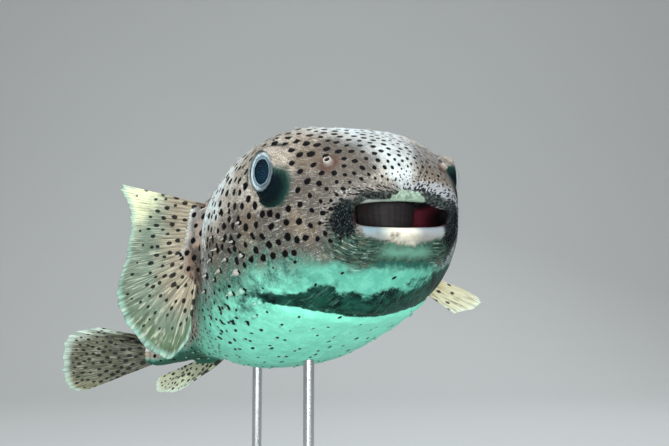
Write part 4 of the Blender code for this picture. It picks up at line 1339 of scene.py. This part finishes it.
def wood_paint():
    paint = Paint("dark_wood", Roughness=0.35, Coat_Weight=0.35, Coat_Roughness=0.15)
    lines = paint.noise(paint.on_object((160, 9, 90)), 1.0, 5, 0.6)
    pores = paint.noise(paint.on_object((1400, 60, 900)), 1.0, 2)
    colour = paint.mix(paint.step(lines, 0.35, 0.65), (40, 27, 20), (74, 50, 36))
    paint.shade(Base_Color=paint.layers(colour, (pores, 0.62, 0.72, 0.6, (22, 15, 12))),
                Roughness=paint.step(lines, 0.3, 0.7, 0.3, 0.42))
    return paint.finish((pores, 0.0002, 0.3))


def steel_paint():
    paint = Paint("brushed_steel", Metallic=1.0, Base_Color=linear((190, 192, 194)))
    brushed = paint.noise(paint.on_object((120, 120, 2600)), 1.0, 3)
    paint.shade(Roughness=paint.step(brushed, 0.3, 0.7, 0.24, 0.4))
    return paint.finish((brushed, 0.00005, 0.4))


# Colours of the fins' membranes: root, inner, middle, upper and lower corner, edge and spots
MEMBRANES = {
    "pectoral_membrane": ((92, 66, 54), (160, 148, 128), (122, 138, 122), (240, 242, 200),
                          (80, 104, 72), (160, 200, 186), (14, 12, 14)),
    # The far pectoral fin is painted lighter than the near one: painted light, where it catches the
    # light from above
    "far_fin_lit_membrane": ((150, 140, 116), (196, 178, 136), (206, 200, 166), (238, 242, 216),
                     (222, 220, 190), (230, 240, 222), (44, 38, 32)),
    "rear_fin_membrane": ((52, 54, 44), (66, 66, 52), (88, 90, 72), (206, 218, 206),
                          (128, 124, 90), (190, 216, 204), (14, 14, 13)),
    "anal_membrane": ((110, 150, 126), (190, 196, 168), (206, 212, 184), (216, 230, 210),
                      (206, 204, 168), (220, 238, 224), (34, 32, 30)),
}


# ---------------------------------------------------------------- making the pieces
def both_sides(points, out, half):
    """A sheet's front and rear points, half its thickness to either side of its middle."""
    return points + out * half[..., None], points - out * half[..., None]


def sheet_faces(columns, rows):
    """Faces of a sheet's front grid, its rear grid and the rim between them."""
    total = columns * rows
    faces = grid_faces(columns, rows, closed=False)
    faces += [[a + total for a in reversed(face)] for face in faces]
    index = np.arange(total).reshape(columns, rows)
    loop = np.concatenate([index[0, :], index[1:, -1], index[-1, -2::-1], index[-2:0:-1, 0]])
    return faces + [[int(b), int(a), int(a) + total, int(b) + total]
                    for a, b in zip(loop, np.roll(loop, -1))]


def fin_spots(fin, points, reach, strew, gap, size):
    """Distance from the nearest spot's middle in its radii; spots sit in rows along the rays."""
    columns, rows = points.shape[:2]
    snap = 1 if fin["name"] == "caudal" else POINTS_PER_RAY // 2
    ahead = unit(np.gradient(points, axis=1)).reshape(-1, 3)
    points = points.reshape(-1, 3)
    tree = kd_tree(points)
    chosen = scatter(tree, points, (reach > 0.1) & (reach < 0.9), gap * (1.05 - 0.2 * reach), 63)
    if fin["name"].startswith("pectoral"):
        chosen = [i for i in chosen if strew.uniform() > 0.75 * ramp(0.35, 0.85, reach[int(i)])]
    ratio = np.full(len(points), UNMARKED)
    for i in chosen:
        column, row = divmod(int(i), rows)
        i = min(int(round(column / snap)) * snap, columns - 1) * rows + row
        radius = size * strew.uniform(0.75, 1.15) * (1.4 - 0.75 * reach[i])
        stamp_spot(ratio, tree, points, points[i], ahead[i], radius, strew.uniform(1.2, 2.1))
    return ratio


def fin_blade(fin, material):
    """A thin sheet of rays and membrane, ribbed on both sides, ragged along its edge."""
    paired, tail, count = fin["name"].startswith("pectoral"), fin["name"] == "caudal", fin["count"]
    columns, rows = (count - 1) * POINTS_PER_RAY + 1, 72
    share, reach = np.linspace(0, 1, columns), np.linspace(0.0, 1.0, rows)[None, :]
    strew = np.random.default_rng(len(fin["name"]) + 50)
    ray = share * (count - 1)
    ridge = (np.cos(2 * np.pi * ray) + 1) / 2
    split = (np.cos(4 * np.pi * ray) + 1) / 2
    # The outline: rays of uneven length, webs drawn back between them, rounded corners
    uneven = np.interp(ray, np.arange(count), strew.uniform(-0.022, 0.0, count))
    corners = ramp(0.06, 0.0, share) + (0 if paired else ramp(0.95, 1.0, share))
    stretch = 1 + (uneven - 0.02 * (1 - ridge) - 0.055 * corners)[:, None] * reach ** 6
    points, out, length = fin_surface(fin, share, reach * stretch)
    # Waves in the membrane, and the tail's gathered folds
    flat = np.stack([np.repeat(ray[:, None], rows, 1), np.repeat(reach * 6, columns, 0)], -1)
    flat = flat.reshape(-1, 2)
    wave = value_noise(flat, (2.6, 1.7), 61).reshape(columns, rows)
    wave = wave + 0.5 * value_noise(flat, (1.1, 2.4), 62).reshape(columns, rows)
    points = points + out * (0.0016 * wave * ramp(0.1, 0.55, reach))[..., None]
    if tail:
        gathered = np.sin(2 * np.pi * ray * 0.8)[:, None] * ramp(0.36, 0.2, share)[:, None]
        points = points + out * (0.0022 * gathered * ramp(0.05, 0.3, reach))[..., None]
    # Rays stand out as ribs, each split in two towards the edge
    forked = ramp(0.4, 0.75, reach)
    rib = ridge[:, None] * (1 - forked) + split[:, None] * forked
    half = (0.00115 * (1 - reach) + 0.00022) + (0.00038 - 0.0002 * reach) * rib
    half *= ramp(1.01, 0.975, reach) * 0.6 + 0.4
    vertices = np.concatenate([side.reshape(-1, 3) for side in both_sides(points, out, half)])
    blade = mesh_object(fin["name"], to_world(vertices), sheet_faces(columns, rows), material)

    where = np.repeat(reach, columns, 0).ravel()
    gap, size = (0.0066, 0.0013) if paired else (0.0054, 0.0014)
    ends = ramp(0.03, 0.0, share) + ramp(0.97, 1.0, share)
    fields = {"spot": fin_spots(fin, points, where, strew, gap, size), "reach": where,
              "ray": rib.ravel(), "share": np.repeat(share, rows), "rest": points.reshape(-1, 3),
              "rim": np.maximum(np.outer(ends, ramp(0.55, 0.95, reach[0])),
                                ramp(0.84, 1.0, reach)).ravel(),
              "blade": np.stack([(length[:, None] * reach).ravel(), np.repeat(share * 0.08, rows),
                                 0 * where], -1)}
    attributes(blade.data, **{name: np.concatenate([one, one]) for name, one in fields.items()})
    return blade


def spine_piece(name, roots, material):
    """Spines lying back along the body, each a slim curved cone that lifts a little at its tip."""
    around, rows = 9, 11
    turns = np.linspace(0, 2 * np.pi, around, endpoint=False)
    reach = np.linspace(0, 1, rows)
    vertices, faces, patches, pale = [], [], [], []
    strew = np.random.default_rng(71)
    for point, normal, back, length, distance, angle, belly in roots:
        heading = back + 0.1 * strew.normal(size=3)
        heading = unit(heading - (heading @ normal) * normal)
        stout = float(low_cheek(distance, belly))
        length = length * strew.uniform(0.85, 1.2) * (1 + 0.3 * stout)
        lift = math.radians(strew.uniform(7, 15))
        side = np.cross(normal, heading)
        risen = reach * length * math.sin(lift) + SPINE_ARCH * reach * (1 - reach)
        path = (point - normal * SPINE_SINK + heading * (reach * length * math.cos(lift))[:, None]
                + normal * risen[:, None])
        leaf = np.sin(np.pi * np.clip((reach + 0.14) / 0.76, 0, 1)) ** 1.2
        sheath = (0.0004 + 0.00125 * stout) * leaf
        radius = sheath + (0.00042 + 0.00014 * stout) * (1 - reach ** 1.6) ** 0.8 + 0.00005
        start = len(vertices)
        circle = np.cos(turns)[:, None] * side + np.sin(turns)[:, None] * normal
        for middle, wide in zip(path, radius):
            vertices += list(middle + wide * circle)
        faces += grid_faces(rows, around, start=start)
        faces.append(tuple(start + (rows - 1) * around + j for j in range(around)))
        faces.append(tuple(start + j for j in reversed(range(around))))
        # Its patch of the bake's map, at its root's place on the skin unrolled
        corner = np.array((distance / STANDARD_LENGTH, angle / (2 * np.pi))) * 0.95 + 0.02
        patches += [tuple(corner + PATCH_WIDTH * (np.array((turn / (2 * np.pi), high)) - 0.5))
                    for high in reach for turn in turns]
        pale += [float(ramp(72, 55, belly))] * (rows * around)
    obj = mesh_object(name, to_world(np.array(vertices)), faces, material)
    layer = obj.data.uv_layers.new(name="OFBake")
    for loop in obj.data.loops:
        layer.data[loop.index].uv = patches[loop.vertex_index]
    attributes(obj.data, tip=np.tile(np.repeat(reach, around), len(roots)), pale=np.array(pale),
               rest=np.array(vertices))
    return obj


def eye_pieces(side, iris, lens, cornea):
    """Eyeball with its ring of iris, the bulging pupil and the clear cornea over both."""
    word = "right" if side > 0 else "left"
    centre, look, back, up = frame = eye_frame(side)
    ball, plane, pupil, bevel = EYE_RADIUS - 0.0004, 0.0082, 0.0074, 8
    profile = arc(ball, math.pi - 0.05, math.acos(plane / ball), 26)
    edge = profile[-1][1]
    profile += [(plane + 0.0004 * math.sin(math.pi * k / bevel) - 0.0006 * k / bevel,
                 edge + (0.3 * pupil - edge) * k / bevel) for k in range(1, bevel + 1)]
    globe = lathe(f"globe_{word}", profile, *frame, 72, iris)
    away = to_fish(coordinates(globe.data)) - centre
    ahead, aside = about_axis(away, look)
    attributes(globe.data, ring=np.where(ahead > 0.007, aside / edge, 1.0), rest=away,
               turn=np.stack([away @ back, away @ up, 0 * aside], -1) / edge)
    bulge = [(plane - 0.001, pupil), (plane - 0.0002, pupil * 0.995)]
    bulge += [(plane - 0.0002 + 0.0024 * math.sin(t), pupil * math.cos(t))
              for t in np.linspace(0.15, 1.5, 10)]
    dark = lathe(f"pupil_{word}", bulge, *frame, 56, lens)
    away = to_fish(coordinates(dark.data)) - centre
    attributes(dark.data, turn=np.stack([away @ back, away @ up, 0 * away[:, 0]], -1) / pupil)
    outer = EYE_RADIUS - 0.0001
    first = math.acos((plane - 0.0006) / outer)
    clear = arc(outer, first, 0.03, 22) + arc(outer - 0.0005, 0.03, first, 22)
    return globe, dark, lathe(f"cornea_{word}", clear, *frame, 64, cornea, closed=True)


def tooth_plate(name, height, tall, drop, material):
    """A beak plate of fused teeth: an arch with a thin biting edge. drop is +1 for the upper."""
    turn = np.radians(np.linspace(-76, 76, 60))
    path = np.stack([-0.0105 - 0.02 * (1 - np.cos(turn)), 0.017 * np.sin(turn),
                     np.full(turn.shape, height)], -1)
    up = np.broadcast_to(np.array((0.0, 0.0, 1.0)), path.shape)
    out = np.cross(unit(np.gradient(path, axis=0)), up)
    level = np.concatenate([np.linspace(-1, 1, 14), np.linspace(1, -1, 14)])
    face = np.concatenate([np.ones(14), -np.ones(14)])
    thick = 0.0017 * (0.3 + 0.7 * np.clip((level * drop + 1.0) / 1.1, 0, 1) ** 0.7)
    thick *= np.sqrt(np.clip(1.02 - level ** 8, 0.05, 1))
    ripple = 0.00012 * np.sin(turn * 34)[:, None]
    rings = (path[:, None] + out[:, None] * ((thick + ripple) * face)[..., None]
             + up[:, None] * (level * tall)[None, :, None])
    rings += out[:, None] * (0.001 * (level * drop))[None, :, None]
    plate = loft(name, rings, material)
    flat = to_fish(coordinates(plate.data))
    edge = np.clip(1 - ((flat[:, 2] - height) / tall * drop + 1) / 2, 0, 1)
    attributes(plate.data, edge=edge, rest=flat)
    return plate


def keep(piece, slot, *nodes):
    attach(piece, "root")
    if nodes:
        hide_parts(*nodes)


form = body_form()
skin = sculpt(form)
spine_roots = skin_fields(form.data, skin)
form.data.materials.append(skin_paint())
keep(form, "skin", "head", "trunk", "tail_stalk", "nostril_left", "nostril_right", "lip_upper",
     "lip_lower")

spine_material = spine_paint()
for name, on_right in (("spines_right", True), ("spines_left", False)):
    chosen = [root for root in spine_roots if (math.cos(root[5]) < 0) == on_right]
    keep(spine_piece(name, chosen, spine_material), "skin")

membranes = {name: fin_paint(name, *colours) for name, colours in MEMBRANES.items()}
for fin in FINS:
    keep(fin_blade(fin, membranes[fin["membrane"]]), "fin", fin["node"])

iris, lens, cornea = iris_paint(), lens_paint(), cornea_paint()
for side, node in ((1, "eye_right"), (-1, "eye_left")):
    globe, dark, shell = eye_pieces(side, iris, lens, cornea)
    keep(globe, "eye", node)
    keep(dark, "eye")
    keep(shell, "eye")

tooth = tooth_paint()
keep(tooth_plate("tooth_upper", -0.0066, 0.0088, 1, tooth), "tooth", "tooth_plate_upper")
keep(tooth_plate("tooth_lower", -0.0184, 0.0024, -1, tooth), "tooth", "tooth_plate_lower")

wood, steel = wood_paint(), steel_paint()
for node, material in (("stand_base", wood), ("stand_rod_front", steel), ("stand_rod_rear", steel)):
    materials = frame["nodes"][node].data.materials
    materials.clear()
    materials.append(material)


# ---------------------------------------------------------------- stage, light and camera
CAMERA_TURN = math.radians(-23.27)
FLOOR_HALF_WIDTH, FLOOR_FRONT, FLOOR_REAR, SWEEP_RADIUS, SWEEP_TOP = 3.2, -2.6, 1.0, 0.7, 3.2


def stage():
    """A pale floor that rises behind the object in one sweep."""
    profile = [(FLOOR_FRONT, 0.0), (FLOOR_REAR, 0.0)]
    profile += [(FLOOR_REAR + SWEEP_RADIUS * math.sin(t), SWEEP_RADIUS * (1 - math.cos(t)))
                for t in np.linspace(0.1, math.pi / 2, 14)]
    profile += [(FLOOR_REAR + SWEEP_RADIUS, SWEEP_TOP)]
    turn = Matrix.Rotation(CAMERA_TURN, 4, 'Z')
    vertices = [turn @ Vector((x, y, z)) for y, z in profile
                for x in (-FLOOR_HALF_WIDTH, FLOOR_HALF_WIDTH)]
    faces = [(2 * k, 2 * k + 1, 2 * k + 3, 2 * k + 2) for k in range(len(profile) - 1)]
    mesh = bpy.data.meshes.new("sweep")
    mesh.from_pydata(vertices, [], faces)
    mesh.shade_smooth()
    paper = Paint("pale_paper", Base_Color=linear((206, 208, 208)), Roughness=0.85)
    mesh.materials.append(paper.material)
    linked("sweep", mesh)


def soft_light(name, place, size, watts, colour, aim=(0.0, -0.05, 0.24), spread=180):
    data = bpy.data.lights.new(name, 'AREA')
    data.spread = math.radians(spread)
    data.shape, data.size, data.energy, data.color = 'SQUARE', size, watts, colour
    lamp = linked(name, data)
    lamp.location = place
    lamp.rotation_euler = (Vector(aim) - Vector(place)).to_track_quat('-Z', 'Y').to_euler()


stage()
soft_light("key", (-0.45, -0.6, 1.5), 0.8, 17.0, (0.91, 0.98, 1.0))
soft_light("front_fill", (-0.34, -1.15, 0.3), 0.5, 4.8, (0.95, 1.0, 0.98), (0.0, -0.1, 0.17))
soft_light("low_fill", (-0.3, -0.8, 0.11), 0.25, 0.32, (0.93, 1.0, 0.98), (0.0, -0.06, 0.14), 50)
soft_light("rim", (0.9, 0.6, 1.1), 0.7, 5.0, (0.92, 0.97, 1.0))

# A studio's even light, brighter from above
world = bpy.data.worlds.new("studio")
world.use_nodes = True
tree = world.node_tree
height = tree.nodes.new('ShaderNodeSeparateXYZ')
tree.links.new(tree.nodes.new('ShaderNodeTexCoord').outputs["Generated"], height.inputs[0])
shade = tree.nodes.new('ShaderNodeMapRange')
tree.links.new(height.outputs["Z"], shade.inputs["Value"])
for socket, value in (("From Min", -0.2), ("From Max", 0.9), ("To Min", 0.46), ("To Max", 0.92)):
    shade.inputs[socket].default_value = value
tree.links.new(shade.outputs["Result"], tree.nodes["Background"].inputs["Color"])
tree.nodes["Background"].inputs["Strength"].default_value = 0.5
bpy.context.scene.world = world
bpy.context.scene.view_settings.view_transform = 'Standard'

camera_data = bpy.data.cameras.new("camera")
camera_data.sensor_width, camera_data.lens = 36.0, 43.049328
camera = linked("camera", camera_data)
camera.location = (-0.20143, -0.58643, 0.21053)
camera.rotation_euler = (math.radians(95.0), 0.0, CAMERA_TURN)
bpy.context.scene.camera = camera
